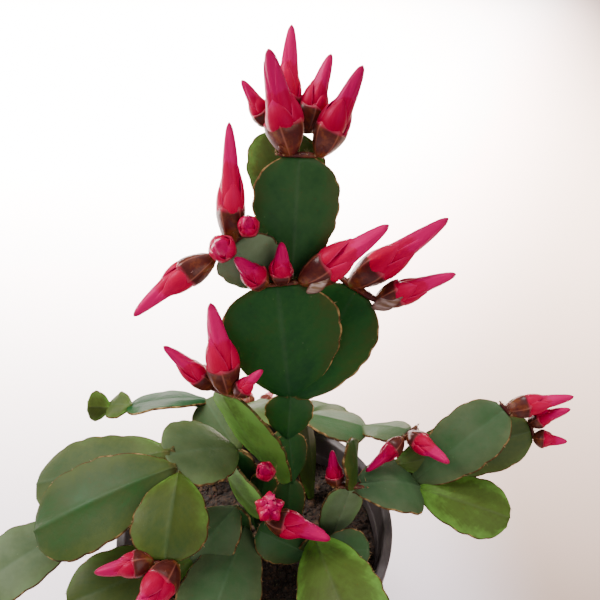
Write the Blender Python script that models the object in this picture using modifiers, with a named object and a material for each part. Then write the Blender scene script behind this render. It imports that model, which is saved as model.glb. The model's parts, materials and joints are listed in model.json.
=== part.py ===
"""A potted easter cactus: flat notched stem segments in chains, with closed crimson buds on their ends,
standing in soil in a small round plastic pot. Built in metres, +Z up, with the origin in the middle of
the pot's base and the view of the layout along +Y."""

import math
import random

import bmesh
import bpy
from mathutils import Vector

MM = 0.001
GAP = 0.3  # mm left between pieces that touch
FLAT_ANGLE = 2.0  # degrees within which neighbouring faces of a fused body become one

# Pot, in mm
POT_HEIGHT = 88.0
RIM_RADIUS = 50.0
COLLAR_DEPTH = 9.0
COLLAR_STEP = 2.6
BASE_RADIUS = 36.0
WALL = 1.2
FLOOR = 2.4
FOOT_RECESS = 1.2
RECESS_INNER = 20.0
RECESS_OUTER = 31.0
DRAIN_RADIUS = 3.2
DRAIN_CIRCLE = 25.5
DRAIN_COUNT = 8
POT_SIDES = 30

# Soil, in mm
SOIL_TOP = 76.0
SOIL_ROUGHNESS = 0.9
SOIL_RINGS = (8.0, 16.0, 24.0, 32.0, 40.0)
SOIL_SIDES = 24
BARK_PIECES = 14
BARK_SPREAD = 37.0
BARK_CLEAR = 8.0  # from the middle of a stem
PEG_RADIUS = 2.7
PEG_DEPTH = 14.0
PEG_SIDES = 8

# Stem segments, in mm
EDGE_HALF = 0.5
RIB_HALF = 1.35
BASE_SWELL = 0.9
NOTCH = 0.45
SINK = 2.0  # how far a segment's base goes into the one below it
LAST_JOINT = 0.97  # the furthest share of a segment's length at which another grows
JOINT_SPREAD = 0.8  # the share of the half width that a joint may stand to the side

# Buds, in mm and shares of the bud's length
CUP_WALL = 1.1
CUP_SHARE = 0.30
DISH_SHARE = 0.23
BUD_SIDES = 10
FOOT_LIFT = 0.8
SHORT_BUD = 16.0
GIRTH_LEAST = 3.2
GIRTH_SHARE = 0.18
PETAL_FOOT = 0.72  # of the half girth, where the petals stand in the dish
DISH_WIDTH = 0.74
BAR_LEAST = 3.0  # mm to each side of the middle
BUNCH_REACH = 60.0  # segments that start this near a bunch are cut clear of its cups

# Where each stem leaves the soil
ROOTS = {
    "middle": (12, 4),
    "left": (1, 4),
    "far_left": (-1, 20),
    "right": (27, 1),
    "far_right": (20, 18),
    "front": (21, -10),
    "near_left": (-6, -4),
    "back": (9, 26),
}

# Each segment: stem, name, what it grows from, how far along that and how far to its side (-1 to 1),
# where its end is, its width, the way its flat side looks, and how far it arches to that side
SEGMENTS = (
    ("middle", "m1", None, 0, 0, (13, 5, 105), 11, (-0.2, -1, 0), 1),
    ("middle", "m2", "m1", 1, 0, (12, 9, 124), 13, (0.4, -1, 0), 1),
    ("middle", "m3", "m2", 1, 0, (13, 12, 140), 16, (0, -1, 0.3), 1),
    ("middle", "face", "m3", 1, 0, (9.5, 16, 181), 36.5, (0, -1, 0.3), 1),
    ("middle", "wing", "m3", 1, 0.5, (34, 23, 174), 28, (-0.4, -1, 0.5), 0),
    ("middle", "spine", "m3", 1, -0.3, (13, 24, 181), 19, (0, -1, 0.6), 0),
    ("middle", "ear", "spine", 0.9, -0.9, (-3, 19, 194), 20, (0.1, -1, 0.1), 1),
    ("middle", "crown", "spine", 1, 0.2, (16, 26, 218), 25, (0, -1, 0.3), 0),
    ("middle", "nape", "spine", 1, -0.5, (10, 31, 197), 16, (0, -1, 0.6), 0),
    ("middle", "crest", "nape", 1, 0, (13, 35, 222), 23, (-0.1, -1, 0.7), 0),
    ("middle", "blade", "m1", 1, -0.7, (-7, 4, 148), 25, (-0.85, -0.95, 0.1), 1),
    ("left", "l1", None, 0, 0, (-1, 5, 101), 10, (-0.5, -1, 0.2), 1),
    ("left", "l2", "l1", 1, 0, (-5, 4, 121), 12, (-0.5, -1, 0.4), 1),
    ("left", "shelf", "l2", 1, -0.3, (-26, -8, 132), 27, (-0.1, -0.2, 1), 2),
    ("left", "palm", "shelf", 1, -0.9, (-65, -24, 116), 28, (-0.2, -0.5, 1), 3),
    ("left", "thumb", "shelf", 0.95, -1.2, (-22, -39, 125), 22, (0.1, -0.4, 1), 2),
    ("left", "fan", "shelf", 1, 0.2, (-72, -4, 113), 25, (0, -0.3, 1), 0.5),
    ("left", "under", "shelf", 0.9, 0.2, (-60, -12, 100), 20, (0, -0.4, 1), 1),
    ("left", "paddle", "under", 1, 0, (-87, -32, 97), 22, (-0.3, -0.5, 1), 2),
    ("left", "sickle", "l2", 0.75, -1.1, (5, -14, 112), 15, (-0.7, -0.7, 0.1), 2),
    ("left", "nub", "l1", 0.8, 0.8, (5, -4, 119), 9, (0, -1, 0.7), 0),
    ("far_left", "f1", None, 0, 0, (-8, 26, 96), 12, (-0.6, -1, 0.4), 1),
    ("far_left", "f2", "f1", 1, 0, (-22, 44, 105), 19, (-0.2, -0.5, 1), 1),
    ("far_left", "f3", "f2", 1, 0, (-53, 42, 103), 22, (0, 0.5, 1), 2),
    ("far_left", "f4", "f3", 1, 0, (-62, 45, 101), 12, (0, -0.3, 1), 1),
    ("far_left", "f5", "f4", 1, 0, (-70, 43, 103), 12, (-0.3, -1, 0.6), 0),
    ("right", "r1", None, 0, 0, (33, -4, 112), 14, (0.2, -1, 0.5), 1),
    ("right", "r2", "r1", 1, 0.1, (33, 4, 126), 17, (1, -0.4, 0), 1),
    ("right", "r3", "r1", 1, 0.7, (59, 3, 101), 22, (0.1, -0.1, 1), 3),
    ("right", "r4", "r3", 1, -0.8, (87, 15, 129), 21, (-0.5, -0.8, 1), 2),
    ("right", "r5", "r3", 0.75, -1.1, (98, 15, 119), 22, (-0.2, -1, 0.8), 1),
    ("right", "r6", "r3", 1, 0, (89, -6, 98), 20, (0.1, -0.6, 1), 2),
    ("far_right", "g1", None, 0, 0, (17, 29, 112), 14, (1, -0.6, 0), 1),
    ("far_right", "g2", "g1", 1, 0, (41, 25, 108), 24, (0, 0.4, 1), 1),
    ("far_right", "g3", "g2", 1, 0, (55, 16, 117), 15, (0.1, 0.2, 1), 1),
    ("front", "n1", None, 0, 0, (21, -12, 95), 11, (0.2, -1, 0.5), 1),
    ("front", "n2", "n1", 1, 0.2, (35, -54, 100), 27, (-0.2, -0.3, 1), 3),
    ("front", "n3", "n1", 0.5, -0.6, (2, -12, 99), 15, (0, -0.6, 1), 1),
    ("front", "n4", "n1", 0.5, 0.6, (40, -14, 91), 14, (0, -0.6, 1), 1),
    ("near_left", "q1", None, 0, 0, (-5, -6, 103), 10, (-0.5, -1, 0.3), 0),
    ("near_left", "q2", "q1", 1, -0.3, (-20, -21, 96), 20, (-0.2, -0.5, 1), 1),
    ("near_left", "q3", "q2", 1, 0, (-57, -35, 94), 23, (-0.3, -0.5, 1), 2),
    ("near_left", "q4", "q1", 0.6, 0.6, (-14, -56, 97), 26, (0.2, -0.1, 1), 3),
    ("back", "b1", None, 0, 0, (12, 36, 97), 13, (0, -0.3, 1), 1),
    ("back", "b2", "b1", 1, 0.3, (36, 62, 80), 22, (0.1, 0.5, 1), 5),
    ("back", "b3", "b1", 1, -0.4, (-4, 66, 80), 22, (-0.1, 0.5, 1), 5),
)

# Each bud: the segment it grows on, how far across that segment's end it stands, where its tip is, and
# how plump it is for its length
BUDS = (
    ("crown", -2.5, (8, 32, 246), 1.25),
    ("crown", 5.5, (33, 31, 242), 1.1),
    ("crest", -1, (14, 45, 249), 0.95),
    ("crest", 5, (25, 42, 242), 1.05),
    ("crest", -6, (0, 38, 236), 1.0),
    ("ear", -0.5, (-3, 27, 228), 0.82),
    ("ear", 6, (2, 9, 208), 0.95),
    ("ear", -3, (-6, 6, 202), 1.25),
    ("ear", -7, (-33, 8, 176), 1.0),
    ("face", -4, (-2, 10, 195), 1.15),
    ("face", 1, (11, 17, 196), 1.2),
    ("face", 7, (42, 20, 200), 1.1),
    ("wing", -3, (60, 24, 200), 1.0),
    ("wing", 7, (63, 17, 185), 1.0),
    ("blade", 1, (-10, 9, 180), 1.1),
    ("blade", -7, (-25, 6, 166), 0.95),
    ("blade", 5, (5, 2, 160), 0.95),
    ("nub", 0, (5, -11, 131), 1.0),
    ("sickle", -2, (8, -21, 125), 1.3),
    ("sickle", 2, (26, -22, 109), 1.2),
    ("r1", -5, (27, 0, 126), 1.0),
    ("g3", 5, (39, 1, 114), 0.9),
    ("g3", 1, (66, -2, 122), 1.0),
    ("r4", 0, (111, 17, 134), 0.95),
    ("r5", -2.5, (109, 13, 132), 0.95),
    ("r5", 2.5, (110, 10, 119), 1.1),
    ("thumb", 3, (-41, -43, 125), 1.1),
    ("thumb", -3, (-29, -58, 124), 1.3),
    ("b3", -3, (-10, 82, 77), 0.9),
    ("b3", 4, (3, 83, 73), 0.9),
)

COLOURS = {
    "pot": ((0.045, 0.04, 0.042), 0.5),
    "soil": ((0.03, 0.022, 0.016), 0.95),
    "segment": ((0.045, 0.13, 0.03), 0.42),
    "cup": ((0.11, 0.035, 0.014), 0.4),
    "bud": ((0.58, 0.01, 0.06), 0.38),
}


def clear_scene():
    for obj in list(bpy.data.objects):
        bpy.data.objects.remove(obj)
    for collection in list(bpy.data.collections):
        bpy.data.collections.remove(collection)


def make_collection(name, hidden=False):
    collection = bpy.data.collections.new(name)
    collection.hide_render = hidden
    bpy.context.scene.collection.children.link(collection)
    return collection


def material(name, colour, roughness):
    made = bpy.data.materials.new(name)
    made.use_nodes = True
    shader = made.node_tree.nodes["Principled BSDF"]
    shader.inputs["Base Color"].default_value = (*colour, 1.0)
    shader.inputs["Roughness"].default_value = roughness
    shader.inputs["Metallic"].default_value = 0.0
    return made


def new_object(name, points, faces, collection):
    """An object from points in mm, its normals turned outwards."""
    mesh = bpy.data.meshes.new(name)
    mesh.from_pydata([Vector(p) * MM for p in points], [], faces)
    shape = bmesh.new()
    shape.from_mesh(mesh)
    bmesh.ops.recalc_face_normals(shape, faces=shape.faces)
    shape.to_mesh(mesh)
    shape.free()
    made = bpy.data.objects.new(name, mesh)
    collection.objects.link(made)
    return made


def apply_modifiers(obj):
    graph = bpy.context.evaluated_depsgraph_get()
    mesh = bpy.data.meshes.new_from_object(obj.evaluated_get(graph))
    obj.modifiers.clear()
    obj.data = mesh


def combine(target, others, operation):
    """Unites others with target, or takes them from it, and removes them. Every shape here is closed and
    faceted, which the manifold solver joins without losing a body."""
    helper = bpy.data.collections.new("helper")
    for other in others:
        for home in list(other.users_collection):
            home.objects.unlink(other)
        helper.objects.link(other)
    boolean = target.modifiers.new(operation.lower(), "BOOLEAN")
    boolean.operation = operation
    boolean.operand_type = "COLLECTION"
    boolean.collection = helper
    boolean.solver = "MANIFOLD"
    bpy.context.view_layer.update()
    apply_modifiers(target)
    for other in others:
        bpy.data.objects.remove(other)
    bpy.data.collections.remove(helper)


def keep_largest(obj):
    """Drops loose scraps and the walls of sealed hollows, and joins faces that lie in one plane."""
    shape = bmesh.new()
    shape.from_mesh(obj.data)
    shape.faces.ensure_lookup_table()
    unseen = set(shape.faces)
    islands = []
    while unseen:
        island = {unseen.pop()}
        front = list(island)
        while front:
            face = front.pop()
            for edge in face.edges:
                for other in edge.link_faces:
                    if other in unseen:
                        unseen.remove(other)
                        island.add(other)
                        front.append(other)
        islands.append(island)
    best = max(islands, key=lambda island: sum(face.calc_area() for face in island))
    bmesh.ops.delete(shape, geom=[f for f in shape.faces if f not in best], context="FACES")
    bmesh.ops.dissolve_limit(
        shape, angle_limit=math.radians(FLAT_ANGLE), verts=shape.verts, edges=shape.edges
    )
    bmesh.ops.triangulate(shape, faces=shape.faces)
    shape.to_mesh(obj.data)
    shape.free()


class Segment:
    """One flat stem segment: a spine from its base to its end, and the way its flat side looks."""

    def __init__(self, base, end, width, face, arch, turn):
        self.base = Vector(base)
        self.length = (Vector(end) - self.base).length
        self.heading = (Vector(end) - self.base).normalized()
        face = Vector(face)
        self.normal = (face - face.dot(self.heading) * self.heading).normalized()
        self.across = self.heading.cross(self.normal)
        self.width = width
        self.arch = arch
        self.twist = turn.uniform(-0.18, 0.18)
        self.cup = turn.uniform(-0.05, 0.02) * width
        self.wave = turn.uniform(0.3, 0.7)
        self.phase = turn.uniform(0, 2 * math.pi)
        self.notches = 0 if width < 15 else 3 if width < 24 else 4

    def half_width(self, s):
        s = min(max(s, 0.0), 1.0)
        swell = math.sin(math.pi * (0.05 + 0.7 * s)) ** 0.8
        corner = 1 - 0.45 * max(0.0, (s - 0.8) / 0.2) ** 2
        return self.width / 2 * swell * corner

    def axes(self, s):
        """The point of the spine at s, with the directions across and out of the flat side there."""
        centre = self.base + self.heading * (self.length * s)
        centre = centre + self.normal * (4 * self.arch * s * (1 - s))
        slope = 4 * self.arch * (1 - 2 * min(max(s, 0.0), 1.0)) / self.length
        out = (self.normal - self.heading * slope).normalized()
        angle = self.twist * (s - 0.3)
        side = self.across * math.cos(angle) + out * math.sin(angle)
        return centre, side, out * math.cos(angle) - self.across * math.sin(angle)

    def at(self, s, x=0.0, lift=0.0):
        """The place x mm across and lift mm out of the flat side, at share s of the length."""
        centre, side, out = self.axes(s)
        share = x / (self.width / 2)
        rise = self.cup * share * share
        rise += self.wave * share * share * math.sin(self.phase + 9 * s + (2 if x > 0 else 0))
        return centre + side * x + out * (lift + rise)

    def stations(self):
        """Shares of the length at which the outline turns, each with the depth of its notch there."""
        if not self.notches:
            return [(0.0, 0.0), (0.35, 0.0), (0.7, 0.0), (1.0, 0.0)]
        step = 0.62 / (2 * self.notches)
        found = [(0.0, 0.0), (0.12, 0.0)]
        for i in range(2 * self.notches):
            found.append((0.25 + step * (i + 0.5), NOTCH if i % 2 else 0.0))
        return found + [(0.93, 0.0), (1.0, 0.0)]

    def half_thickness(self, s):
        return RIB_HALF + BASE_SWELL * (1 - min(max(s, 0.0), 1.0)) ** 3

    def solid(self, name, collection, grow=0.0):
        """The segment as a closed solid, grown all round by grow mm when it is a cutter."""
        sink = SINK / self.length
        points = []
        for s, notch in [(-sink, 0.0)] + self.stations():
            half = self.half_width(s) - notch + grow
            reach = s + (grow / self.length if s == 1.0 else 0.0)
            rib = self.half_thickness(s) + grow
            for sign in (1, -1):
                points.append(self.at(reach, -half, sign * (EDGE_HALF + grow)))
                points.append(self.at(reach, 0.0, sign * rib))
                points.append(self.at(reach, half, sign * (EDGE_HALF + grow)))
        faces = []
        rows = len(points) // 6
        loop = (0, 1, 2, 5, 4, 3)
        for row in range(rows - 1):
            a, b = 6 * row, 6 * (row + 1)
            for k in range(6):
                p, q = loop[k], loop[(k + 1) % 6]
                low, high = (p, q) if q != 3 and p < 3 else (q, p)
                faces.append((a + low, a + high, b + high))
                faces.append((a + low, b + high, b + low))
        for start, order in ((0, 1), (6 * (rows - 1), -1)):
            faces.append([start + k for k in (0, 1, 4, 3)][::order])
            faces.append([start + k for k in (1, 2, 5, 4)][::order])
        return new_object(name, points, faces, collection)


def grow_segments():
    """Every segment by name, with the stem it belongs to."""
    turn = random.Random(7)
    grown = {}
    for stem, name, parent, along, side, end, width, face, arch in SEGMENTS:
        if parent is None:
            base = (*ROOTS[stem], SOIL_TOP + 1)
        else:
            old = grown[parent]
            share = min(along, LAST_JOINT)
            base = old.at(share, JOINT_SPREAD * side * old.half_width(share))
        grown[name] = Segment(base, end, width, face, arch, turn)
        grown[name].stem = stem
    return grown


class Bud:
    """One closed bud: an axis from the segment's end to the bud's tip, its girth and its five angles."""

    def __init__(self, segment, offset, tip, plump, turn):
        centre, side, _ = segment.axes(1.0)
        self.foot = centre + side * offset + segment.heading * FOOT_LIFT
        self.length = (Vector(tip) - self.foot).length
        self.axis = (Vector(tip) - self.foot).normalized()
        self.right = self.axis.cross(Vector((0, 0.6, 0.8))).normalized()
        self.up = self.right.cross(self.axis)
        self.girth = plump * (GIRTH_LEAST + GIRTH_SHARE * self.length)
        self.phase = turn.uniform(0, 1.2)
        self.bend = self.up * (self.length * turn.uniform(-0.02, 0.035))

    def ring(self, t, radius, star=0.0, zigzag=0.0, spiral=0.5):
        """Ten points round the axis at share t: star makes five ridges, zigzag pushes them forward."""
        made = []
        for k in range(BUD_SIDES):
            sign = 1 if k % 2 == 0 else -1
            share = t + sign * zigzag
            angle = self.phase + spiral * t + 2 * math.pi * k / BUD_SIDES
            out = self.right * math.cos(angle) + self.up * math.sin(angle)
            reach = radius * (1 + sign * star)
            middle = self.foot + self.axis * (self.length * share)
            middle = middle + self.bend * (4 * share * (1 - share))
            made.append(middle + out * reach)
        return made

    def stack(self, name, rings, top, bottom, collection):
        """A closed solid over a stack of rings, with a point for its top and for its bottom."""
        points = [p for ring in rings for p in ring]
        faces = []
        count = BUD_SIDES
        for row in range(len(rings) - 1):
            for k in range(count):
                a, b = row * count + k, row * count + (k + 1) % count
                faces.append((a, b, b + count))
                faces.append((a, b + count, a + count))
        last = (len(rings) - 1) * count
        points += [bottom, top]
        for k in range(count):
            faces.append((len(points) - 2, (k + 1) % count, k))
            faces.append((last + k, last + (k + 1) % count, len(points) - 1))
        return new_object(name, points, faces, collection)

    def petals(self, name, collection):
        """The crimson body: outer petals that end in a ring of points, inner ones twisted to a tip."""
        half = self.girth / 2
        seat = DISH_SHARE + GAP / self.length
        profile = (
            (0.33, 0.94, 0.06, 0.0),
            (0.46, 1.00, 0.08, 0.0),
            (0.61, 0.84, 0.06, 0.035),
            (0.60, 0.73, 0.05, 0.035),
            (0.79, 0.50, 0.10, 0.0),
            (0.94, 0.22, 0.06, 0.0),
        )
        if self.length < SHORT_BUD:
            profile = profile[1:]
        rings = [self.ring(seat, PETAL_FOOT * half - GAP)]
        rings += [self.ring(t, half * r, star, zig) for t, r, star, zig in profile]
        top = self.foot + self.axis * self.length
        bottom = self.foot + self.axis * (self.length * seat)
        return self.stack(name, rings, top, bottom, collection)

    def cup_body(self, name, collection):
        """The brown angled cup: a solid foot, a rim of five scales and a shallow dish for the petals."""
        half = self.girth / 2
        profile = (
            (0.0, 0.34, 0.10, 0.0),
            (0.15, 0.76, 0.12, 0.0),
            (CUP_SHARE + 0.01, 0.94, 0.06, 0.03),
        )
        rings = [
            self.ring(t, half * r + CUP_WALL * min(1, 0.3 + 4 * t), star, zig)
            for t, r, star, zig in profile
        ]
        rings.append(self.ring(DISH_SHARE, DISH_WIDTH * half))
        top = self.foot + self.axis * (self.length * DISH_SHARE)
        return self.stack(name, rings, top, self.foot, collection)


def end_bar(name, segment, reach, collection):
    """The felted bar along the segment's end, just clear of it, from which the cups grow."""
    centre, side, out = segment.axes(1.0)
    forward = out.cross(side)
    points = []
    for stop in (-1.0, 0.0, 1.0):
        size = 1 - 0.5 * abs(stop)
        for high, deep in ((1.3, GAP), (0.9, 1.6), (-0.9, 1.6), (-1.3, GAP)):
            points.append(centre + side * (stop * reach) + out * (high * size) + forward * deep)
    faces = [(0, 1, 2, 3), (11, 10, 9, 8)]
    for row in range(2):
        for k in range(4):
            a, b = 4 * row + k, 4 * row + (k + 1) % 4
            faces.append((a, b, b + 4, a + 4))
    return new_object(name, points, faces, collection)


def cylinder(name, radius, low, high, place, sides, collection):
    """An upright cylinder in mm."""
    points = []
    for z in (low, high):
        for k in range(sides):
            angle = 2 * math.pi * (k + 0.5) / sides
            points.append((place[0] + radius * math.cos(angle), place[1] + radius * math.sin(angle), z))
    faces = [tuple(range(sides - 1, -1, -1)), tuple(range(sides, 2 * sides))]
    for k in range(sides):
        a, b = k, (k + 1) % sides
        faces.append((a, b, b + sides, a + sides))
    return new_object(name, points, faces, collection)


def inner_radius(z):
    """The radius of the pot's inside at height z."""
    share = (z - FLOOR) / (POT_HEIGHT - FLOOR)
    return BASE_RADIUS - WALL + (RIM_RADIUS - COLLAR_STEP - BASE_RADIUS) * share


def build_pot(collection):
    """The pot: a turned wall with a stepped collar and a recessed foot, then the drain holes."""
    collar = POT_HEIGHT - COLLAR_DEPTH
    step = RIM_RADIUS - COLLAR_STEP
    profile = (
        (0.0, FLOOR),
        (BASE_RADIUS - WALL - 2, FLOOR),
        (BASE_RADIUS - WALL, FLOOR + 2),
        (inner_radius(POT_HEIGHT - 1), POT_HEIGHT - 1),
        (inner_radius(POT_HEIGHT) + 0.8, POT_HEIGHT),
        (RIM_RADIUS - 0.8, POT_HEIGHT),
        (RIM_RADIUS, POT_HEIGHT - 1),
        (RIM_RADIUS - 0.7, collar),
        (step - 0.6, collar - 0.8),
        (BASE_RADIUS + 0.6, 2.0),
        (BASE_RADIUS - 1.2, 0.0),
        (RECESS_OUTER + 0.6, 0.0),
        (RECESS_OUTER, FOOT_RECESS),
        (RECESS_INNER, FOOT_RECESS),
        (RECESS_INNER - 0.6, 0.0),
        (0.0, 0.0),
    )
    mesh = bpy.data.meshes.new("pot")
    mesh.from_pydata(
        [(r * MM, 0.0, z * MM) for r, z in profile], [(i, i + 1) for i in range(len(profile) - 1)], []
    )
    pot = bpy.data.objects.new("pot", mesh)
    collection.objects.link(pot)
    turned = pot.modifiers.new("turned", "SCREW")
    turned.steps = POT_SIDES
    turned.render_steps = POT_SIDES
    turned.use_merge_vertices = True
    turned.merge_threshold = 0.00002
    bpy.context.view_layer.update()
    apply_modifiers(pot)
    drains = []
    for k in range(DRAIN_COUNT):
        angle = 2 * math.pi * (k + 0.5) / DRAIN_COUNT
        place = (DRAIN_CIRCLE * math.cos(angle), DRAIN_CIRCLE * math.sin(angle))
        drains.append(cylinder(f"drain_{k}", DRAIN_RADIUS, -1.0, FLOOR + 1, place, 8, collection))
    combine(pot, drains, "DIFFERENCE")
    return pot


def build_soil(collection):
    """Soil with an uneven top and bits of bark, and a plain hole for each stem."""
    turn = random.Random(3)
    low = FLOOR + GAP
    edge = inner_radius(SOIL_TOP) - GAP - 0.1
    points = [(0.0, 0.0, SOIL_TOP)]
    for radius in SOIL_RINGS:
        for k in range(SOIL_SIDES):
            angle = 2 * math.pi * (k + turn.uniform(-0.25, 0.25)) / SOIL_SIDES
            wide = radius + turn.uniform(-1.2, 1.2)
            high = SOIL_TOP + turn.uniform(-1, 1) * SOIL_ROUGHNESS
            points.append((wide * math.cos(angle), wide * math.sin(angle), high))
    sides = (
        (edge, SOIL_TOP - 0.8),
        (BASE_RADIUS - WALL - 0.5, FLOOR + 2.6),
        (BASE_RADIUS - WALL - 3, low),
    )
    for radius, high in sides:
        for k in range(SOIL_SIDES):
            angle = 2 * math.pi * k / SOIL_SIDES
            points.append((radius * math.cos(angle), radius * math.sin(angle), high))
    points.append((0.0, 0.0, low))
    faces = []
    count = SOIL_SIDES
    rows = len(SOIL_RINGS) + len(sides)
    for k in range(count):
        faces.append((0, 1 + k, 1 + (k + 1) % count))
        last = 1 + (rows - 1) * count
        faces.append((len(points) - 1, last + (k + 1) % count, last + k))
    for row in range(rows - 1):
        for k in range(count):
            a, b = 1 + row * count + k, 1 + row * count + (k + 1) % count
            faces.append((a, a + count, b + count))
            faces.append((a, b + count, b))
    soil = new_object("soil", points, faces, collection)
    combine(soil, [bark_piece(k, turn, collection) for k in range(BARK_PIECES)], "UNION")
    holes = []
    for stem, place in ROOTS.items():
        low = SOIL_TOP - PEG_DEPTH - GAP
        wide = PEG_RADIUS + GAP
        holes.append(cylinder(f"hole_{stem}", wide, low, SOIL_TOP + 6, place, PEG_SIDES, collection))
    combine(soil, holes, "DIFFERENCE")
    keep_largest(soil)
    return soil


def bark_piece(number, turn, collection):
    """A flat splinter of bark, half sunk in the soil and clear of the stems."""
    while True:
        radius = BARK_SPREAD * math.sqrt(turn.random())
        angle = turn.uniform(0, 2 * math.pi)
        place = Vector((radius * math.cos(angle), radius * math.sin(angle), SOIL_TOP + 0.3))
        if all((Vector((*root, place.z)) - place).length > BARK_CLEAR for root in ROOTS.values()):
            break
    size = Vector((turn.uniform(2.2, 4.5), turn.uniform(1.4, 2.4), turn.uniform(1.2, 1.9)))
    spin = turn.uniform(0, math.pi)
    points = []
    for z in (-1, 1):
        for x, y in ((-1, -0.7), (0.8, -1), (1, 0.6), (-0.6, 1)):
            shrink = 0.7 if z > 0 else 1.0
            px, py = size.x * x * shrink, size.y * y * shrink
            lean = 0.12 * px * z
            turned = (px * math.cos(spin) - py * math.sin(spin), px * math.sin(spin) + py * math.cos(spin))
            points.append((place.x + turned[0], place.y + turned[1], place.z + size.z * z + lean))
    faces = ((3, 2, 1, 0), (4, 5, 6, 7), (0, 1, 5, 4), (1, 2, 6, 5), (2, 3, 7, 6), (3, 0, 4, 7))
    return new_object(f"bark_{number}", points, faces, collection)


def build_stem(stem, grown, collection):
    """One stem with all of its segments, fused into one body with the peg that stands in the soil."""
    own = [name for name, segment in grown.items() if segment.stem == stem]
    target = grown[own[0]].solid(f"stem_{stem}", collection)
    others = [grown[name].solid(name, collection) for name in own[1:]]
    low = SOIL_TOP - PEG_DEPTH
    others.append(cylinder("peg", PEG_RADIUS, low, SOIL_TOP + 5, ROOTS[stem], PEG_SIDES, collection))
    combine(target, others, "UNION")
    keep_largest(target)
    return target


def build_bunch(name, grown, buds, collection):
    """The cups of one bunch fused on their bar, cut clear of the segments, and the petals of each bud."""
    segment = grown[name]
    reach = max(abs(offset) for offset, _ in buds) + 1.0
    target = end_bar(f"cups_{name}", segment, max(reach, BAR_LEAST), collection)
    cups = [bud.cup_body(f"cup_{k}", collection) for k, (_, bud) in enumerate(buds)]
    combine(target, cups, "UNION")
    place = buds[0][1].foot
    near = [other for other in grown.values() if (other.base - place).length < BUNCH_REACH]
    combine(target, [other.solid("room", collection, GAP) for other in near], "DIFFERENCE")
    keep_largest(target)
    petals = []
    for k, (_, bud) in enumerate(buds):
        petals.append(bud.petals(f"bud_{name}_{k + 1}", collection))
    return target, petals


def main():
    clear_scene()
    plant = make_collection("potted_easter_cactus")
    looks = {name: material(name, *values) for name, values in COLOURS.items()}
    grown = grow_segments()
    made = [(build_pot(plant), "pot"), (build_soil(plant), "soil")]
    for stem in ROOTS:
        made.append((build_stem(stem, grown, plant), "segment"))
    turn = random.Random(11)
    bunches = {}
    for name, offset, tip, plump in BUDS:
        bunches.setdefault(name, []).append((offset, Bud(grown[name], offset, tip, plump, turn)))
    for name, buds in bunches.items():
        cups, petals = build_bunch(name, grown, buds, plant)
        made.append((cups, "cup"))
        made += [(obj, "bud") for obj in petals]
    for obj, look in made:
        obj.data.materials.clear()
        obj.data.materials.append(looks[look])


main()
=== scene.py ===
import json
import math
import random

import bmesh
import bpy
import numpy as np
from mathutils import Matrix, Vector

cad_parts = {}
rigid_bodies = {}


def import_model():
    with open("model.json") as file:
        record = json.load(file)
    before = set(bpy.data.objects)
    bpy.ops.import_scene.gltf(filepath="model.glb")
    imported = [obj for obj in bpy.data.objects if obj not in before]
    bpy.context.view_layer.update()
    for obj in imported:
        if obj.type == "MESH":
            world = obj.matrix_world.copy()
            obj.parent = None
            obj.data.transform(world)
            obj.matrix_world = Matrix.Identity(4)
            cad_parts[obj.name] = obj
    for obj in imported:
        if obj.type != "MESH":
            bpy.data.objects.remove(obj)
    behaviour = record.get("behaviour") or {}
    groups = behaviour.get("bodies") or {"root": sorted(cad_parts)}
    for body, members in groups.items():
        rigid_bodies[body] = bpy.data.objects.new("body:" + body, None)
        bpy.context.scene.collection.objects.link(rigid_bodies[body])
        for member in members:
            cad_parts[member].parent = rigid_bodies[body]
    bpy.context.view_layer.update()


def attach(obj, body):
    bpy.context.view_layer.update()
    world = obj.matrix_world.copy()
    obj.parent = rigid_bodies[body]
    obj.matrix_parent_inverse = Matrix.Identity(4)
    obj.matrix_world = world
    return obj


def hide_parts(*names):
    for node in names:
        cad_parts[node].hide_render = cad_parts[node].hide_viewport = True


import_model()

# An easter cactus in a nursery pot. Lengths below are in mm, and become metres when a mesh is made.

MM = 0.001
GAP = 0.3  # left between solids that stand in one another

# Pot
POT_HEIGHT = 88.0
RIM_RADIUS = 50.0
COLLAR_DEPTH = 9.0
COLLAR_STEP = 2.6
BASE_RADIUS = 36.0
WALL = 1.2
FLOOR = 2.4
FOOT_RECESS = 1.2
RECESS_INNER = 20.0
RECESS_OUTER = 31.0
DRAIN_RADIUS = 3.2
DRAIN_CIRCLE = 25.5
DRAIN_COUNT = 8
DRAIN_SIDES = 28
CORNER_RADIUS = 0.9
POT_SIDES = 144
SHARP_EDGE = 35  # degrees past which an edge of the pot stays sharp

# Soil
SOIL_TOP = 76.0
SOIL_RINGS = 40
SOIL_SIDES = 96

# What lies on the soil: its name and look, how many in a square metre, the least and greatest half length of
# one, how high it is for its length, how rough it is, and the seed
LOOSE_SOIL = (
    ("soil_crumbs", "soil", 400000.0, 0.35, 1.1, 0.75, 0.9, 5),
    ("soil_lumps", "soil", 40000.0, 1.0, 2.2, 0.7, 1.6, 9),
    ("bark_chips", "bark", 17000.0, 1.3, 3.4, 0.38, 1.8, 21),
)
CRUMB_WIDTH = 0.62  # of its length
CRUMB_TILT = 0.5  # radians, either way
CRUMB_BUMP = 10 / 7  # mm across a bump on a crumb

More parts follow.
